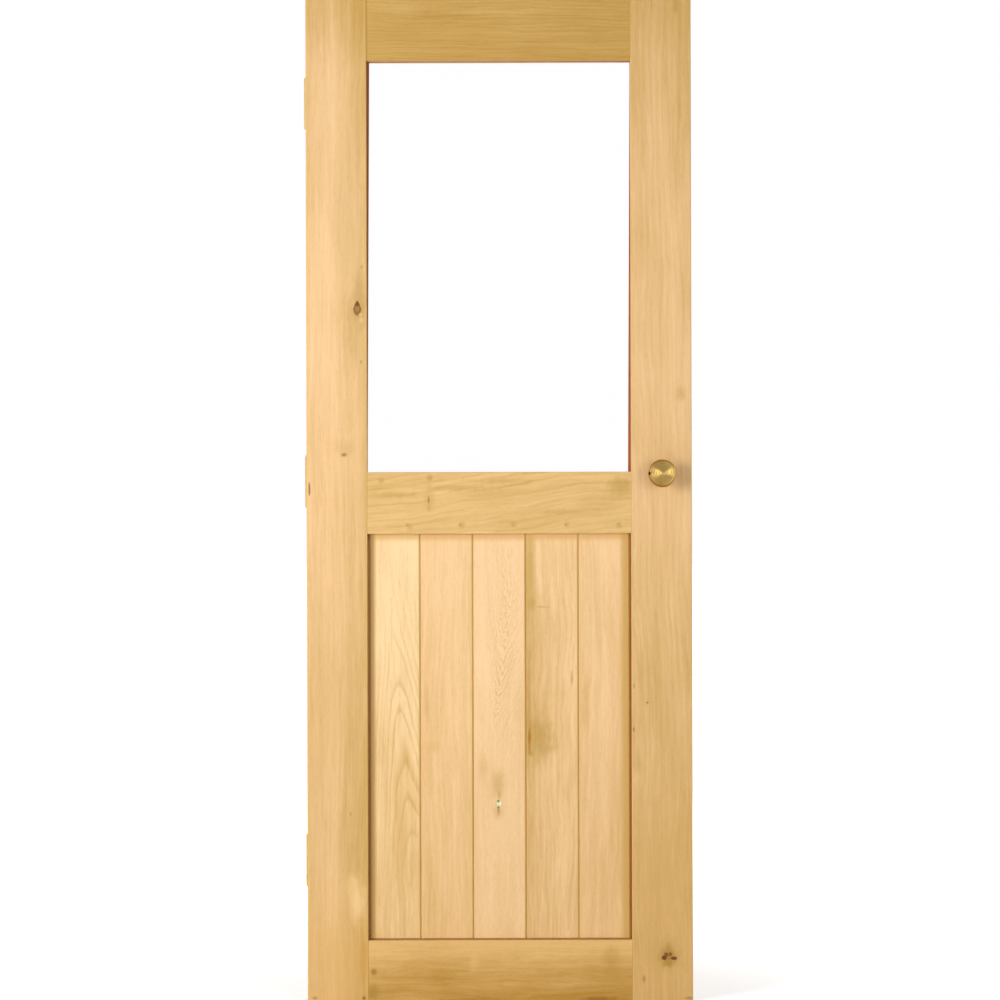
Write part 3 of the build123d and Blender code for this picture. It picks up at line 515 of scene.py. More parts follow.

# Tone over the height: the stile's own tone, and painted light falloff, darker towards the top and the foot
HINGE_STILE_TONE_AND_FALLOFF = (
    (0.0, 0.48), (0.12, 0.44), (0.3, 0.44), (0.5, 0.24), (0.62, 0.16), (0.75, 0.18), (0.92, 0.36), (1.0, 0.66),
)
HINGE_STILE_STAINS = (
    ((327, 110), (60, 220), paint(247, 207, 157), 0.45),
    ((350, 220), (34, 260), paint(229, 194, 142), 0.4),
    ((360, 300), (22, 80), paint(200, 162, 100), 0.75),
    ((354, 312), (42, 50), OLIVE, 0.4),
    ((361, 320), (8, 9), paint(244, 204, 142), 0.6),
    ((353, 340), (28, 64), OLIVE, 0.38),
    ((345, 448), (34, 26), OLIVE, 0.3),
    ((343.8, 454.8), (9, 6), paint(150, 106, 42), 0.85),
    ((361, 362), (4, 6), paint(176, 132, 70), 0.6),
    ((361.6, 267), (5, 6), paint(190, 150, 84), 0.6),
    ((335, 960), (110, 230), paint(228, 182, 106), 0.45),
    ((357.5, 901), (28, 68), paint(246, 206, 146), 0.85),
    ((351, 884), (16, 28), paint(240, 200, 138), 0.6),
    ((347, 910), (8, 60), paint(214, 172, 102), 0.4),
    ((363.5, 958), (12, 80), paint(214, 160, 82), 0.75),
    # These two rows are painted shadow at the foot, where the stile meets the floor
    ((364, 998), (6, 7), paint(136, 100, 44), 0.9),
    ((315, 998), (8, 5), paint(176, 134, 66), 0.7),
)
HINGE_STILE_KNOTS = (
    ((357.3, 308.3), (7.4, 13.6), 0.75, 0.95, paint(170, 122, 62), paint(98, 60, 32)),
    ((357.0, 303.6), (3.6, 5.6), 0.8, 0.7, paint(94, 58, 26), paint(94, 58, 26)),
    ((360.2, 314.6), (3.6, 3.2), 0.0, 0.55, paint(236, 196, 140), paint(226, 184, 122)),
    ((350.7, 814), (1.3, 4), 0.0, 0.4, KNOT_BROWN, RIM_BROWN),
    ((309.4, 489), (1.8, 13), 0.0, 0.85, KNOT_BROWN, RIM_BROWN),
)
dress("hinge_stile", oak(
    "hinge_stile_oak", STILE_PALE, STILE_DEEP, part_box("hinge_stile"), seed=3.1, pith=(-0.62, 0.35, 0),
    taper=0.004, ring_width=0.009, wander=0.03, rings=0.05, streaks=1.05, clouds=0.5,
    along=HINGE_STILE_TONE_AND_FALLOFF,
    across=((0.0, 0.06), (0.45, 0.0), (0.7, 0.22), (1.0, 0.36)),
    patches=HINGE_STILE_STAINS,
    knots=HINGE_STILE_KNOTS,
    bands=(
        (X, leaf_left, 0.006, WARM_EDGE, 0.45),
        (X, opening_left, 0.006, paint(222, 182, 104), 0.6),
    ),
))
print("hinge stile dressed:", len(HINGE_STILE_STAINS), "stains", len(HINGE_STILE_KNOTS), "knots")

# %% [markdown]
# ## The lock stile
# The lock stile was sawn from a like plank, a shade deeper, and its grain leans by a degree or so. Low down
# it has a cluster of small dark knots in a brown stain. A cluster could be one dark blot, but from near by
# its knots stand apart, so each has its own row.

# %% Dress the lock stile
LOCK_STILE_STAINS = (
    ((662, 900), (120, 330), paint(212, 168, 94), 0.5),
    ((668, 953), (40, 50), OLIVE, 0.5),
    ((668, 957), (27, 26), paint(172, 126, 50), 0.75),
    ((667, 964), (17, 10), paint(176, 130, 40), 0.6),
    ((668, 949), (10, 18), paint(184, 136, 62), 0.5),
    ((681, 393), (14, 24), OLIVE, 0.5),
    ((633, 730), (8, 44), OLIVE, 0.35),
    ((637, 762), (14, 40), OLIVE, 0.35),
    ((644, 979), (6, 12), paint(164, 120, 56), 0.6),
    ((676, 4), (10, 34), paint(186, 144, 76), 0.55),
    # Painted shadow at the foot, where the stile meets the floor
    ((689, 998), (14, 5), paint(150, 108, 52), 0.6),
)
LOCK_STILE_KNOTS = (
    ((664.2, 957.8), (5, 4.4), 0.0, 0.95, paint(112, 62, 24), paint(96, 52, 26)),
    ((666.3, 954.5), (4, 4.2), 0.0, 0.85, paint(112, 80, 30), paint(104, 74, 30)),
    ((670.4, 954.2), (3.4, 3.8), 0.0, 0.75, paint(122, 84, 34), paint(112, 74, 34)),
    ((674, 958.2), (6.4, 3.2), 0.0, 0.95, paint(116, 66, 26), paint(104, 56, 28)),
    ((669, 958), (3.6, 3.2), 0.0, 0.5, paint(186, 128, 84), paint(150, 98, 56)),
    ((633.8, 729.5), (1.4, 4.4), 0.0, 0.8, KNOT_BROWN, RIM_BROWN),
    ((634, 686), (1.2, 5), 0.0, 0.5, KNOT_BROWN, RIM_BROWN),
    ((647.4, 702.5), (2.2, 2.2), 0.0, 0.6, KNOT_BROWN, RIM_BROWN),
)
dress("lock_stile", oak(
    "lock_stile_oak", STILE_PALE, STILE_DEEP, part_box("lock_stile"), tilt=1.4, seed=7.7, pith=(0.75, 0.4, 0),
    taper=0.004, ring_width=0.009, wander=0.035, rings=0.06, streaks=1.1, clouds=0.55,
    # Painted light falloff over the height, with the plank's own tone: darker towards the top and the foot
    along=((0.0, 0.69), (0.3, 0.6), (0.5, 0.34), (0.65, 0.31), (0.8, 0.37), (0.93, 0.62), (1.0, 0.73)),
    across=((0.0, 0.04), (0.5, 0.0), (1.0, 0.06)),
    patches=LOCK_STILE_STAINS,
    knots=LOCK_STILE_KNOTS,
    bands=((X, leaf_right, 0.004, WARM_EDGE, 0.3), (X, opening_right, 0.004, WARM_EDGE, 0.5)),
))
print("lock stile dressed:", len(LOCK_STILE_STAINS), "stains", len(LOCK_STILE_KNOTS), "knots")

# %% [markdown]
# ## The top rail
# The grain of a rail runs across the leaf, so its pattern is the same plank turned by a quarter. The top rail
# is the most golden piece, with long straight lines and a thin band of painted shade along its edge over the
# opening.

# %% Dress the top rail
TOP_RAIL_STAINS = (
    ((490, 12), (150, 7), paint(222, 182, 112), 0.5),
    ((400, 8), (100, 14), paint(217, 178, 110), 0.55),
    ((570, 40), (120, 8), paint(190, 146, 70), 0.4),
)
dress("top_rail", oak(
    "top_rail_oak", paint(216, 175, 104), paint(183, 140, 62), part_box("top_rail"), grain=ALONG, seed=11.3,
    pith=(0.55, 0.5, 0), taper=0.006, ring_width=0.007, wander=0.05, rings=0.16, streaks=1.3, clouds=0.6,
    along=((0, 0.34), (1, 0.46)), across=((0.0, 0.12), (1.0, -0.1)),
    patches=TOP_RAIL_STAINS,
    bands=(
        # Painted shade under the rail, along the edge of the opening
        (Z, top_rail_bottom, 0.002, paint(196, 138, 62), 0.5),
        (X, opening_left, 0.004, paint(168, 116, 60), 0.5),
    ),
))
print("top rail dressed:", len(TOP_RAIL_STAINS), "stains")

# %% [markdown]
# ## The mid rail
# The mid rail has soft wavy grain that climbs to the right, a few faint marks, and a stain round each peg,
# where oil crept out of the end grain. Wide rings and a strong wander give the waves.

# %% Dress the mid rail
PEG_STAIN = paint(200, 158, 90)
PEG_PLACES = ((409.6, 527), (462, 524.5), (514, 524.5), (567.5, 524.5), (619, 525))
MID_RAIL_STAINS = (
    ((395, 495), (100, 10), paint(204, 160, 88), 0.6),
    ((455, 488), (110, 10), paint(204, 160, 88), 0.6),
    ((505, 481), (100, 9), paint(208, 164, 92), 0.55),
    ((560, 512), (70, 8), paint(206, 162, 90), 0.5),
    ((600, 504), (60, 7), paint(206, 162, 90), 0.45),
    ((620, 486), (38, 26), paint(194, 154, 78), 0.7),
    ((430, 498), (16, 44), paint(206, 162, 92), 0.4),
    ((381, 480.5), (10, 9), paint(200, 158, 88), 0.7),
    ((430, 478), (9, 9), paint(198, 150, 80), 0.7),
    ((428.7, 500), (3, 12), paint(172, 122, 56), 0.85),
    ((429, 508), (4, 12), paint(204, 160, 90), 0.6),
    *((place, (10, 10), PEG_STAIN, 0.55) for place in PEG_PLACES),
)
dress("mid_rail", oak(
    "mid_rail_oak", paint(240, 200, 136), paint(200, 158, 86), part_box("mid_rail"),
    grain=ALONG, tilt=5.5, seed=15.9,
    pith=(-0.86, 0.12, 0), taper=0.01, ring_width=0.015, wander=0.07, rings=0.17, streaks=1.5, clouds=0.6,
    along=((0.0, 0.41), (0.5, 0.31), (1.0, 0.2)), across=((0, 0), (1.0, 0.06)),
    patches=MID_RAIL_STAINS,
    bands=((Z, mid_rail_top, 0.0018, paint(214, 162, 92), 0.4),),
))
print("mid rail dressed:", len(MID_RAIL_STAINS), "stains")

# %% [markdown]
# ## The bottom rail
# The bottom rail is painted darker towards the floor, as the light falls off there. One tone that deepens
# across the rail does most of that, and a few rows add the pale flecks and a painted shadow along the foot.

# %% Dress the bottom rail
BOTTOM_RAIL_STAINS = (
    ((474, 962), (14, 38), paint(230, 188, 118), 0.6),
    ((512, 984), (36, 8), paint(222, 176, 98), 0.55),
    # Painted shadow in the corner at the foot
    ((372, 994), (26, 26), paint(170, 132, 56), 0.6),
    ((374, 972), (9, 10), paint(146, 108, 42), 0.7),
    ((612, 960), (28, 40), paint(184, 138, 60), 0.4),
    # These two rows are painted shadow along the foot, where the rail meets the floor
    ((600, 999), (60, 7), paint(132, 88, 34), 0.6),
    ((470, 1000), (110, 5), paint(160, 112, 46), 0.5),
)
dress("bottom_rail", oak(
    "bottom_rail_oak", paint(230, 188, 119), paint(180, 133, 46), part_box("bottom_rail"),
    grain=ALONG, seed=21.7,
    pith=(0.35, 0.1, 0), taper=0.012, ring_width=0.012, wander=0.08, rings=0.06, streaks=0.9, clouds=1.0,
    along=((0, 0.04), (1, 0.1)), across=((0.0, 0.6), (0.4, 0.46), (0.62, 0.3), (0.8, 0.06), (1.0, 0.0)),
    patches=BOTTOM_RAIL_STAINS,
    bands=((X, opening_left, 0.003, OLIVE, 0.4),),
))
print("bottom rail dressed:", len(BOTTOM_RAIL_STAINS), "stains")

# %% [markdown]
# ## The five boards
# Each board is a plank of its own. The first is flat-sawn, with its pith a little behind its face, so the
# taper draws stacked arches. The third has fine curly figure in its upper half and a small knot hole. The
# fourth has an olive streak down its left side. Each look below holds one plank's tones, rings and rows.

# %% Looks of the boards
ARCH_LEAN = 4.5
CURL_LEAN = -8.5
# The along stops of each look also paint light falloff: the boards are darker towards their foot
ARCHED_BOARD = dict(
    pale=paint(255, 221, 168), deep=paint(206, 160, 82), seed=31.0, lean=ARCH_LEAN,
    pith=pith_through(400, 700, 0.016, ARCH_LEAN), taper=0.108, ring_width=0.0078, wander=0.03, rings=0.36,
    figure=((402, 745), (80, 400)), streaks=1.15, clouds=0.45,
    along=((0.0, 0.5), (0.4, 0.44), (0.62, 0.24), (0.75, 0.12), (1.0, 0.06)),
    patches=(
        ((400, 830), (24, 190), paint(222, 180, 110), 0.4),
        ((385, 560), (20, 60), paint(244, 206, 148), 0.4),
        ((416, 740), (9, 40), paint(250, 212, 158), 0.5),
    ),
)
PLAIN_BOARD = dict(
    pale=paint(252, 211, 159), deep=paint(210, 167, 92), seed=37.0, pith=(-0.75, 0.4, 0),
    ring_width=0.009, wander=0.05, rings=0.05, streaks=1.0, clouds=0.5,
    along=((0.0, 0.46), (0.5, 0.25), (1.0, 0.1)), across=((0.0, 0.08), (0.6, 0.0), (1.0, 0.06)),
    patches=(
        ((427, 705), (9, 54), paint(214, 172, 104), 0.55),
        ((432, 748), (24, 20), paint(224, 182, 116), 0.4),
        ((430, 780), (14, 60), paint(226, 184, 120), 0.35),
    ),
)
CURLY_BOARD = dict(
    pale=paint(253, 214, 164), deep=paint(214, 172, 104), seed=43.0, lean=CURL_LEAN,
    pith=pith_through(503, 650, 0.004, CURL_LEAN), taper=-0.2, ring_width=0.0036, wander=0.03, curl=0.01,
    rings=0.6, figure=((505, 650), (50, 300)), streaks=0.95, clouds=0.4,
    along=((0.0, 0.3), (0.35, 0.28), (0.5, 0.2), (0.75, 0.04), (1.0, 0.08)), across=((0.0, 0.0), (1.0, 0.06)),
    patches=(
        ((498, 786), (24, 46), OLIVE, 0.5),
        ((499, 812), (16, 22), OLIVE, 0.35),
        ((507, 640), (28, 220), paint(238, 198, 140), 0.2),
        ((483, 768), (16, 44), paint(222, 180, 116), 0.45),
        ((499, 796), (4, 14), paint(190, 148, 84), 0.6),
        ((498.6, 810), (4, 14), paint(170, 130, 66), 0.7),
    ),
    knots=(
        ((499, 803.6), (6.6, 6.8), 0.0, 1.0, paint(255, 252, 226), paint(214, 190, 130)),
        ((498.4, 801.8), (2.8, 2.4), 0.0, 0.9, paint(128, 108, 54), paint(128, 108, 54)),
        ((498.2, 808), (1.8, 1.8), 0.0, 0.8, paint(120, 96, 44), paint(120, 96, 44)),
    ),
)
OLIVE_BOARD = dict(
    pale=paint(248, 208, 154), deep=paint(192, 148, 66), seed=49.0, pith=(-0.45, 0.3, 0),
    ring_width=0.009, wander=0.05, rings=0.05, streaks=1.3, clouds=0.6,
    along=((0.0, 0.25), (0.45, 0.2), (0.55, 0.19), (1.0, 0.07)),
    across=((0.0, 0.36), (0.3, 0.12), (0.6, 0.0), (1.0, 0.0)),
    patches=(
        ((530, 576), (18, 170), paint(204, 166, 88), 0.75),
        ((528.5, 700), (8, 150), paint(194, 148, 72), 0.7),
        ((538, 738), (54, 84), paint(196, 156, 82), 0.8),
        ((545, 748), (34, 14), paint(200, 160, 88), 0.4),
        ((529.6, 738), (5.4, 44), paint(180, 120, 44), 0.95),
        ((531, 754), (8, 10), paint(176, 132, 62), 0.6),
        ((531, 604), (12, 22), paint(188, 148, 78), 0.4),
        ((541, 607), (22, 3.4), paint(206, 164, 96), 0.7),
        ((572, 678), (4, 22), paint(196, 154, 92), 0.7),
    ),
)
GOLDEN_BOARD = dict(
    pale=paint(249, 208, 156), deep=paint(202, 158, 82), seed=55.0, pith=(0.95, 0.5, 0),
    ring_width=0.009, wander=0.05, rings=0.05, streaks=0.95, clouds=0.5,
    along=((0.0, 0.34), (0.5, 0.26), (1.0, 0.09)), across=((0.0, 0.0), (1.0, 0.08)),
    patches=(((586, 700), (12, 100), paint(216, 176, 104), 0.45),),
)
BOARD_LOOKS = (ARCHED_BOARD, PLAIN_BOARD, CURLY_BOARD, OLIVE_BOARD, GOLDEN_BOARD)
print("board looks:", len(BOARD_LOOKS), "for", BOARD_COUNT, "boards")

# %% [markdown]
# ## Shade round the boards
# The joints, the ends and the strips beside the stiles are browner than the faces: the shade in the V-joints
# and the gaps, the shadow under the mid rail and the shadow of the hinge stile are painted into the colour, and
# a darker golden strip lies beside the lock stile. So each edge gets a band: how far it lies from the edge, its
# width, its tint and its strength.

# %% Dress the boards
# Painted shade: the V-joints, the gaps at the foot and beside the stiles, the shadow under the mid rail and the
# shadow of the hinge stile
JOINT_SHADE_TINT = paint(216, 178, 104)
GAP_SHADE_TINT = paint(160, 104, 60)
UNDER_RAIL_SHADOW = (-0.003, 0.016, paint(216, 174, 108), 0.75)
FOOT_GAP_SHADE = (0.0, 0.0045, paint(192, 140, 74), 0.65)
LEFT_JOINT_SHADE = (0.0, 0.0056, JOINT_SHADE_TINT, 0.25)
RIGHT_JOINT_SHADE = (0.0, 0.0056, JOINT_SHADE_TINT, 0.85)
HINGE_STILE_SHADOW = (0.0085, 0.0105, paint(188, 146, 80), 0.85)
HINGE_SIDE_GAP_SHADE = (0.0, 0.004, GAP_SHADE_TINT, 0.12)
# A darker golden strip beside the lock stile, and painted shade in the gap there
LOCK_SIDE_STRIP = (-0.01, 0.016, paint(204, 164, 90), 0.85)
LOCK_SIDE_GAP_SHADE = (0.0, 0.003, GAP_SHADE_TINT, 0.25)


def band_at(axis, edge, shade):
    """A band of shade set against one edge of a board."""
    offset, width, tint, strength = shade
    return (axis, edge + offset, width, tint, strength)


for index, look in enumerate(BOARD_LOOKS):
    low = Vector((opening_left + index * board_pitch, 0, bottom_rail_top))
    high = Vector((opening_left + (index + 1) * board_pitch, 0, mid_rail_bottom))
    left_shades = (LEFT_JOINT_SHADE,) if index > 0 else (HINGE_STILE_SHADOW, HINGE_SIDE_GAP_SHADE)
    right_shades = (RIGHT_JOINT_SHADE,) if index < BOARD_COUNT - 1 else (LOCK_SIDE_STRIP, LOCK_SIDE_GAP_SHADE)
    bands = [band_at(Z, high.z, UNDER_RAIL_SHADOW), band_at(Z, low.z, FOOT_GAP_SHADE)]
    bands += [band_at(X, low.x, shade) for shade in left_shades]
    bands += [band_at(X, high.x, shade) for shade in right_shades]
    dress(f"panel_board_{index + 1}", oak(f"panel_board_{index + 1}_oak", box=(low, high), bands=bands, **look))
print("boards dressed:", len(BOARD_LOOKS))

# %% [markdown]
# ## Beads and pegs
# The beads that hold the pane are cut from the same oak, with their grain along their length. The pegs
# are split oak seen end on, greyer than the rail, because end grain drinks more oil and dust.

# %% Dress the beads and the pegs
BEAD_PALE = paint(236, 196, 136)
BEAD_DEEP = paint(200, 158, 90)
for side, grain in (("top", ALONG), ("bottom", ALONG), ("hinge_side", UP), ("lock_side", UP)):
    node = f"glazing_bead_{side}"
    dress(node, oak(f"{node}_oak", BEAD_PALE, BEAD_DEEP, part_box(node), grain=grain, seed=61.0, wander=0.02))


def peg_end_grain():
    material, tree, shader, place = new_material("peg_end_grain")
    speckle = noise(tree, place, (1100, 60, 1100), 3)
    tone = noise(tree, place, (30, 5, 30), 1)
    depth = number(tree, "MULTIPLY_ADD", speckle, 0.9, number(tree, "SUBTRACT", tone, 0.5))
    bump = add_node(tree, "ShaderNodeBump", {"Height": speckle, "Strength": 0.3, "Distance": 0.0003})
    colour = mix_colour(tree, depth, paint(222, 182, 116), paint(176, 138, 78))
    rough = number(tree, "MULTIPLY_ADD", speckle, 0.3, OAK_ROUGHNESS)
    fill(tree, shader, {"Base Color": colour, "Roughness": rough, "Normal": bump.outputs[0]})
    return material


dress("board_pegs", peg_end_grain())
print("beads and pegs dressed")

# %% [markdown]
# ## Brass and steel
# The knobs and roses were turned, so their fine marks run in rings about the knob's axis; the hinges and the
# latch plate were rolled and rubbed lengthwise. Handling keeps the high places bright, while a brown tarnish
# stays in the grooves. The rim of each knob is painted darker as shade, and the holes of the set screws are
# painted dark with the shade inside them. One group gives the marks and the tarnish, and each piece says which
# way its marks run.

# %% Group: metal wear
def metal_wear():
    group, start, end = new_group(
        "metal_wear", {"Vector": "Vector", "Marks": "Vector"}, {"Scratches": "Float", "Tarnish": "Float"}
    )
    stretched = vector(group, "MULTIPLY", start["Vector"], start["Marks"])
    scratches = noise(group, stretched, (1, 1, 1), 2)
    spots = noise(group, start["Vector"], (160, 160, 160), 4)
    broad = noise(group, start["Vector"], (38, 38, 38), 2)
    tarnish = fade(group, number(group, "ADD", spots, broad), 1.0, 1.5)
    fill(group, end, {"Scratches": scratches, "Tarnish": tarnish})
    return group


wear_group = metal_wear()
print("group", wear_group.name)

# %% [markdown]
# ## A worn crown
# Years of hands have rounded the rings of the knob's crown. The rings could be cut shallower, but they are the
# knob's own shape. So only the shading gives way: on the crown the normals are drawn part of the way to
# those of a plain dome.

# %% Normals of the crown
CROWN_START = (0.056, 0.060)
CROWN_SHARE = 0.3


def crown_normal(tree, across, depth, up):
    """A piece's own normal, drawn towards that of a dome on the knob's crown."""
    outward = number(tree, "MULTIPLY", number(tree, "SIGN", depth), knob_radius)
    dome = add_node(tree, "ShaderNodeCombineXYZ", {0: across, 1: outward, 2: up}).outputs[0]
    dome = add_node(
        tree, "ShaderNodeVectorTransform", {0: dome},
        vector_type="NORMAL", convert_from="OBJECT", convert_to="WORLD",
    ).outputs[0]
    crowned = fade(tree, number(tree, "ABSOLUTE", depth), *CROWN_START)
    share = number(tree, "MULTIPLY", crowned, CROWN_SHARE)
    own = add_node(tree, "ShaderNodeNewGeometry").outputs["Normal"]
    drawn = add_node(tree, "ShaderNodeMix", {0: share, 4: own, 5: dome}, data_type="VECTOR").outputs[1]
    return vector(tree, "NORMALIZE", drawn)


print("crown starts", CROWN_START[0], "m from the middle of the leaf")

# %% [markdown]
# ## The metal finish
# One function makes every metal here. Brass and steel differ only in their tints, gloss and marks. A turned
# piece also names the radii of its grooves, where the tarnish stays, and the mouths of its set screws, painted
# dark with the shade inside them; its rim is painted darker as shade.

# %% Metal finish
GROOVE_WIDTH = 0.0012
GROOVE_TARNISH = 0.14
RIM_WIDTH = 0.007
RIM_PAINTED_SHADE = 0.65
HOLE_RADIUS = 0.0036
HOLE_CORE_SHARE = 0.75
HOLE_SHADE_TINT = paint(40, 28, 14)


def metal(name, bright, dull, gloss, marks, worn=1.0, grooves=(), holes=()):
    """A rubbed metal, tarnished by a share; a turned one has grooves about the knob's axis, and rim and holes
    painted dark as shade.
    """
    material, tree, shader, place = new_material(name)
    pattern = place
    if grooves:
        axes = split(tree, place)
        across = number(tree, "SUBTRACT", axes[X], knob_axis[0])
        up = number(tree, "SUBTRACT", axes[Z], knob_axis[1])
        radius = distance(tree, across, up)
        pattern = add_node(tree, "ShaderNodeCombineXYZ", {0: radius, 1: axes[Y]}).outputs[0]
    scratches = use_group(tree, wear_group, {"Vector": pattern, "Marks": marks})["Scratches"]
    tarnish = use_group(tree, wear_group, {"Vector": place, "Marks": marks})["Tarnish"]
    tarnish = number(tree, "MULTIPLY", tarnish, worn)
    # The grooves keep their tarnish; the band at the rim is painted shade
    rings = [(groove, GROOVE_WIDTH, GROOVE_TARNISH) for groove in grooves]
    rings += [(knob_radius, RIM_WIDTH, RIM_PAINTED_SHADE)] if grooves else []
    for edge, width, strength in rings:
        band = use_group(tree, band_group, {"Value": radius, "Edge": edge, "Width": width})["Mask"]
        tarnish = number(tree, "MAXIMUM", tarnish, number(tree, "MULTIPLY", band, strength))
    colour = mix_colour(tree, tarnish, bright, dull)
    rough = number(tree, "MULTIPLY_ADD", tarnish, 0.15, gloss)
    rough = number(tree, "MULTIPLY_ADD", scratches, 0.12, rough)
    # Painted shade in the mouth of each set screw
    for hole in holes:
        inputs = {0: place, 1: hole}
        away = add_node(tree, "ShaderNodeVectorMath", inputs, operation="DISTANCE").outputs["Value"]
        hole_shade_mask = fade(tree, away, HOLE_RADIUS, HOLE_RADIUS * HOLE_CORE_SHARE)
        colour = mix_colour(tree, hole_shade_mask, colour, HOLE_SHADE_TINT)
    bump = add_node(tree, "ShaderNodeBump", {"Height": scratches, "Strength": 0.03, "Distance": 0.0002})
    if grooves:
        fill(tree, bump, {"Normal": crown_normal(tree, across, axes[Y], up)})
    fill(tree, shader, {
        "Base Color": colour, "Roughness": rough, "Normal": bump.outputs[0], "Metallic": 1.0,
    })
    return material


print("rim of the knob at", round(knob_radius, 4), "m from its axis")

# %% [markdown]
# ## Knobs, hinges and latch
# The set screw of each knob enters at the rim, on the left as one faces that knob. The shade in its mouth is
# painted dark, at a place found from the knob's own box, as shares of the knob's radius and height.

# %% Dress the metal
BRASS_BRIGHT = paint(218, 180, 106)
BRASS_DULL = paint(150, 106, 46)
STEEL_BRIGHT = paint(196, 196, 192)
STEEL_DULL = paint(140, 138, 132)
RING_SHARES = (0.86, 0.67, 0.48, 0.29)
HOLE_RADIUS_SHARE = 0.93
HOLE_DEPTH_SHARE = 0.33
knob_grooves = [knob_radius * share for share in RING_SHARES]
back_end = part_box("knob_back")[1].y
knob_depth = knob_high.y - knob_low.y
hole_reach = knob_radius * HOLE_RADIUS_SHARE
hole_depth = knob_depth * HOLE_DEPTH_SHARE
holes = (
    (knob_axis[0] - hole_reach, knob_low.y + hole_depth, knob_axis[1]),
    (knob_axis[0] + hole_reach, back_end - hole_depth, knob_axis[1]),
)
turned_brass = metal("turned_brass", BRASS_BRIGHT, BRASS_DULL, 0.15, (1500, 900, 1), 0.4, knob_grooves, holes)
rubbed_brass = metal("rubbed_brass", BRASS_BRIGHT, BRASS_DULL, 0.26, (1800, 1800, 45), 0.45)
plated_steel = metal("plated_steel", STEEL_BRIGHT, STEEL_DULL, 0.28, (900, 900, 120))
for row in frame["record"]["subparts"]:
    if row["material_slot"] == "brass":
        turned = row["node"].startswith(("knob", "rose_front", "rose_back"))
        dress(row["node"], turned_brass if turned else rubbed_brass)
    elif row["material_slot"] == "steel":
        dress(row["node"], plated_steel)
print("metal dressed:", turned_brass.name, rubbed_brass.name, plated_steel.name)

# %% [markdown]
# ## Pane, tape and blocks
# The pane is clear float glass, with a trace of haze where a cloth never reaches its edges. The tape round
# it is brown foam, which is the thin dark line round the opening; it is a shade redder where the light has
# bleached it. The setting blocks are black plastic.

# %% Dress the glazing
HAZE_WIDTH = 0.02
# Below that of true glass, so that the pane shows as little as it does in the photograph
PANE_IOR = 1.2


def clear_glass():
    material, tree, shader, place = new_material("clear_glass")
    axes = split(tree, place)
    low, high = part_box("glass_pane")
    haze = 0.0
    for axis, edge in ((X, low.x), (X, high.x), (Z, low.z), (Z, high.z)):
        band = use_group(tree, band_group, {"Value": axes[axis], "Edge": edge, "Width": HAZE_WIDTH})
        haze = number(tree, "MAXIMUM", haze, band["Mask"])
    haze = number(tree, "MULTIPLY", haze, noise(tree, place, (60, 1, 60), 3))
    colour = mix_colour(tree, haze, (1, 1, 1, 1), paint(244, 250, 248))
    rough = number(tree, "MULTIPLY", haze, 0.02)
    fill(tree, shader, {
        "Base Color": colour, "Roughness": rough, "Transmission Weight": 1.0, "IOR": PANE_IOR,
    })
    return material


def soft_trim(name, pale, deep, grain_size, gloss):
    """Foam or moulded plastic: a fine grain in colour, gloss and relief."""
    material, tree, shader, place = new_material(name)
    grain = noise(tree, place, (grain_size, grain_size, grain_size), 3)
    bleach = noise(tree, place, (6, 6, 6), 1)
    depth = number(tree, "MULTIPLY_ADD", bleach, 0.5, number(tree, "MULTIPLY", grain, 0.5))
    bump = add_node(tree, "ShaderNodeBump", {"Height": grain, "Strength": 0.4, "Distance": 0.0003})
    colour = mix_colour(tree, depth, deep, pale)
    rough = number(tree, "MULTIPLY_ADD", grain, 0.2, gloss)
    fill(tree, shader, {
        "Base Color": colour, "Roughness": rough, "Normal": bump.outputs[0], "Specular IOR Level": 0.2,
    })
    return material


dress("glass_pane", clear_glass())
brown_tape = soft_trim("brown_tape", paint(190, 118, 78), paint(146, 82, 58), 900, 0.7)
dress("glazing_tape_front", brown_tape)
dress("glazing_tape_back", brown_tape)
dress("setting_blocks", soft_trim("block_plastic", paint(64, 64, 64), paint(38, 38, 38), 1500, 0.5))
print("glazing dressed")

# %% [markdown]
# ## Floor and background
# The leaf stands on a wide pale floor that runs out of sight. Seen straight on, the floor has to be as white
# as the background, yet it should still take the leaf's shadow. So it is a pale matt surface with a white
# glow that only the camera, mirrors and glass see; the glow lights nothing. It is weak near the leaf, where
# the lamps do the rest and the shadow shows, and it grows to full white further off. Metal that faces the
# room sees the glow only a few metres off, so that the underside of the knob stays brown.

# %% Lay the floor
FLOOR_HALF = 40.0
FLOOR_GLOW = 0.42
GLOW_NEAR, GLOW_FAR = 0.3, 1.6
DIM_FLOOR = (2.4, 7.0)
BEHIND_LEAF = (-0.3, 0.5)
mesh = bmesh.new()
bmesh.ops.create_grid(mesh, x_segments=1, y_segments=1, size=FLOOR_HALF)
floor_mesh = bpy.data.meshes.new("floor")
mesh.to_mesh(floor_mesh)
mesh.free()
floor = bpy.data.objects.new("floor", floor_mesh)
bpy.context.scene.collection.objects.link(floor)

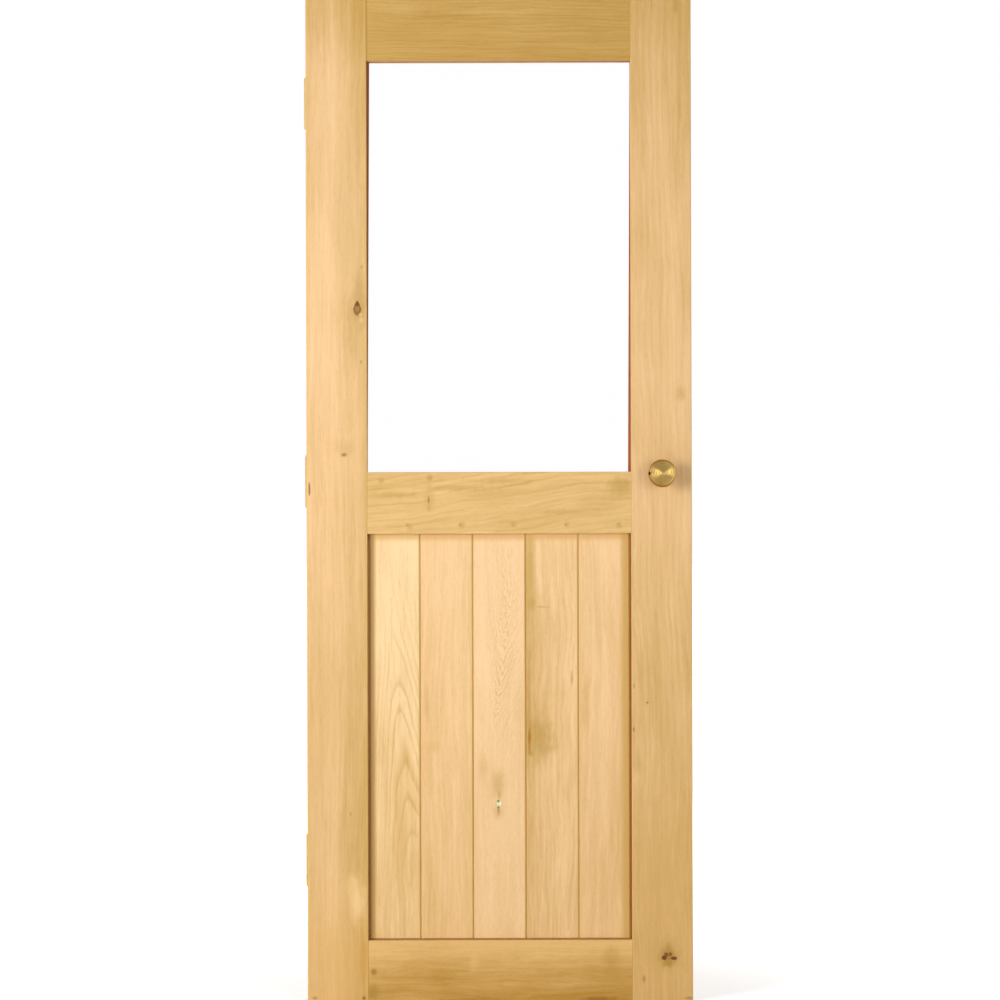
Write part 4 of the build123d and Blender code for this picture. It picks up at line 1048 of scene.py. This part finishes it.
floor_paint, floor_tree, floor_shader, floor_place = new_material("floor_paint")
floor_rays = add_node(floor_tree, "ShaderNodeLightPath").outputs
from_leaf = add_node(
    floor_tree, "ShaderNodeVectorMath", {0: floor_place}, operation="LENGTH"
).outputs["Value"]
far = fade(floor_tree, from_leaf, GLOW_NEAR, GLOW_FAR)
behind = fade(floor_tree, split(floor_tree, floor_place)[Y], *BEHIND_LEAF)
mirrored = number(floor_tree, "MAXIMUM", behind, fade(floor_tree, from_leaf, *DIM_FLOOR))
mirrored = number(floor_tree, "MULTIPLY", mirrored, floor_rays["Is Glossy Ray"])
seen = number(floor_tree, "MAXIMUM", floor_rays["Is Camera Ray"], floor_rays["Is Transmission Ray"])
seen = number(floor_tree, "MAXIMUM", seen, mirrored)
glow = number(floor_tree, "MULTIPLY_ADD", far, 1 - FLOOR_GLOW, FLOOR_GLOW)
fill(floor_tree, floor_shader, {
    "Base Color": paint(236, 236, 236), "Roughness": 0.9, "Specular IOR Level": 0.0,
    "Emission Color": (1, 1, 1, 1), "Emission Strength": number(floor_tree, "MULTIPLY", seen, glow),
})
floor_mesh.materials.append(floor_paint)
print("floor", 2 * FLOOR_HALF, "m square")

# %% [markdown]
# ## Light
# The knob's shadow falls straight to the right, and the strip beside the hinge stile is dark, so the light
# is broad and comes from the left in front, not far above half height. A wide soft box stands there, with a
# weaker one at the right to open the shadows. A third one lights the back, for whoever walks round the leaf.
# The world gives even light all round. What the camera and the glass see beyond the leaf is plain white.
# Metal sees a room: white behind the leaf, and in front a bright band at eye height between a dimmer ceiling
# and floor, with a window at each side, which gives the knob its form.

# %% Set the world
WORLD_LEVEL = 0.3
ROOM_LEVEL = 0.52
BAND_LEVEL = 0.78
WINDOW_LEVEL = 1.1
# Each window, by the sideways part of a heading: where it starts, is full, is gone again and begins to go
WINDOWS = ((-0.3, -0.5, -0.95, -0.8), (0.66, 0.82, 1.0, 0.95))
world = bpy.data.worlds.new("studio")
bpy.context.scene.world = world
world.use_nodes = True
sky_tree = world.node_tree
sky_tree.nodes.clear()
rays = add_node(sky_tree, "ShaderNodeLightPath").outputs
heading = split(sky_tree, add_node(sky_tree, "ShaderNodeTexCoord").outputs["Generated"])
eye_band = fade(sky_tree, number(sky_tree, "ABSOLUTE", heading[Z]), 0.5, 0.3)
room = number(sky_tree, "MULTIPLY_ADD", eye_band, BAND_LEVEL - ROOM_LEVEL, ROOM_LEVEL)
under_head = fade(sky_tree, heading[Z], 0.62, 0.42)
in_front = fade(sky_tree, heading[Y], 0.0, -0.2)
pane_height = number(sky_tree, "MULTIPLY", under_head, in_front)
for start, full, gone, going in WINDOWS:
    near_side = fade(sky_tree, heading[X], start, full)
    far_side = fade(sky_tree, heading[X], gone, going)
    pane_width = number(sky_tree, "MULTIPLY", near_side, far_side)
    pane = number(sky_tree, "MULTIPLY", pane_width, pane_height)
    room = number(sky_tree, "MULTIPLY_ADD", pane, WINDOW_LEVEL, room)
room = number(sky_tree, "MAXIMUM", room, fade(sky_tree, heading[Y], -0.1, 0.1))
white = number(sky_tree, "MAXIMUM", rays["Is Camera Ray"], rays["Is Transmission Ray"])
level = number(sky_tree, "MULTIPLY_ADD", white, 1 - WORLD_LEVEL, WORLD_LEVEL)
mirrored = number(sky_tree, "MULTIPLY", rays["Is Glossy Ray"], number(sky_tree, "SUBTRACT", room, level))
level = number(sky_tree, "ADD", level, mirrored)
background = add_node(sky_tree, "ShaderNodeBackground", {"Color": (1, 1, 1, 1), "Strength": level})
add_node(sky_tree, "ShaderNodeOutputWorld", {"Surface": background.outputs[0]})
print("world", world.name, "with", len(WINDOWS), "windows for metal")

# %% [markdown]
# ## Lamps
# Each soft box is a square lamp that faces the middle of the leaf. A broad lamp gives soft shadows, and a
# small one would draw them hard. Polished metal and glass see the room and not the lamps.

# %% Hang the lamps
LAMPS = (
    ("key_soft_box", (-3.2, -3.0, 1.5), 1.9, 127),
    ("fill_soft_box", (2.2, -3.2, 1.4), 1.8, 34),
    ("back_soft_box", (1.8, 3.4, 1.6), 1.8, 75),
)
leaf_middle = Vector((0, 0, leaf_top / 2))


def soft_box(name, place, size, power):
    """A square lamp that faces the middle of the leaf."""
    data = bpy.data.lights.new(name, "AREA")
    data.shape = "RECTANGLE"
    data.size = size
    data.size_y = size
    data.energy = power
    lamp = bpy.data.objects.new(name, data)
    lamp.location = place
    lamp.rotation_euler = (leaf_middle - Vector(place)).to_track_quat("-Z", "Y").to_euler()
    lamp.visible_camera = False
    lamp.visible_glossy = False
    lamp.visible_transmission = False
    bpy.context.scene.collection.objects.link(lamp)


for lamp_row in LAMPS:
    soft_box(*lamp_row)
bpy.context.scene.view_settings.view_transform = "Standard"
print("lamps:", [lamp.name for lamp in bpy.data.lights])
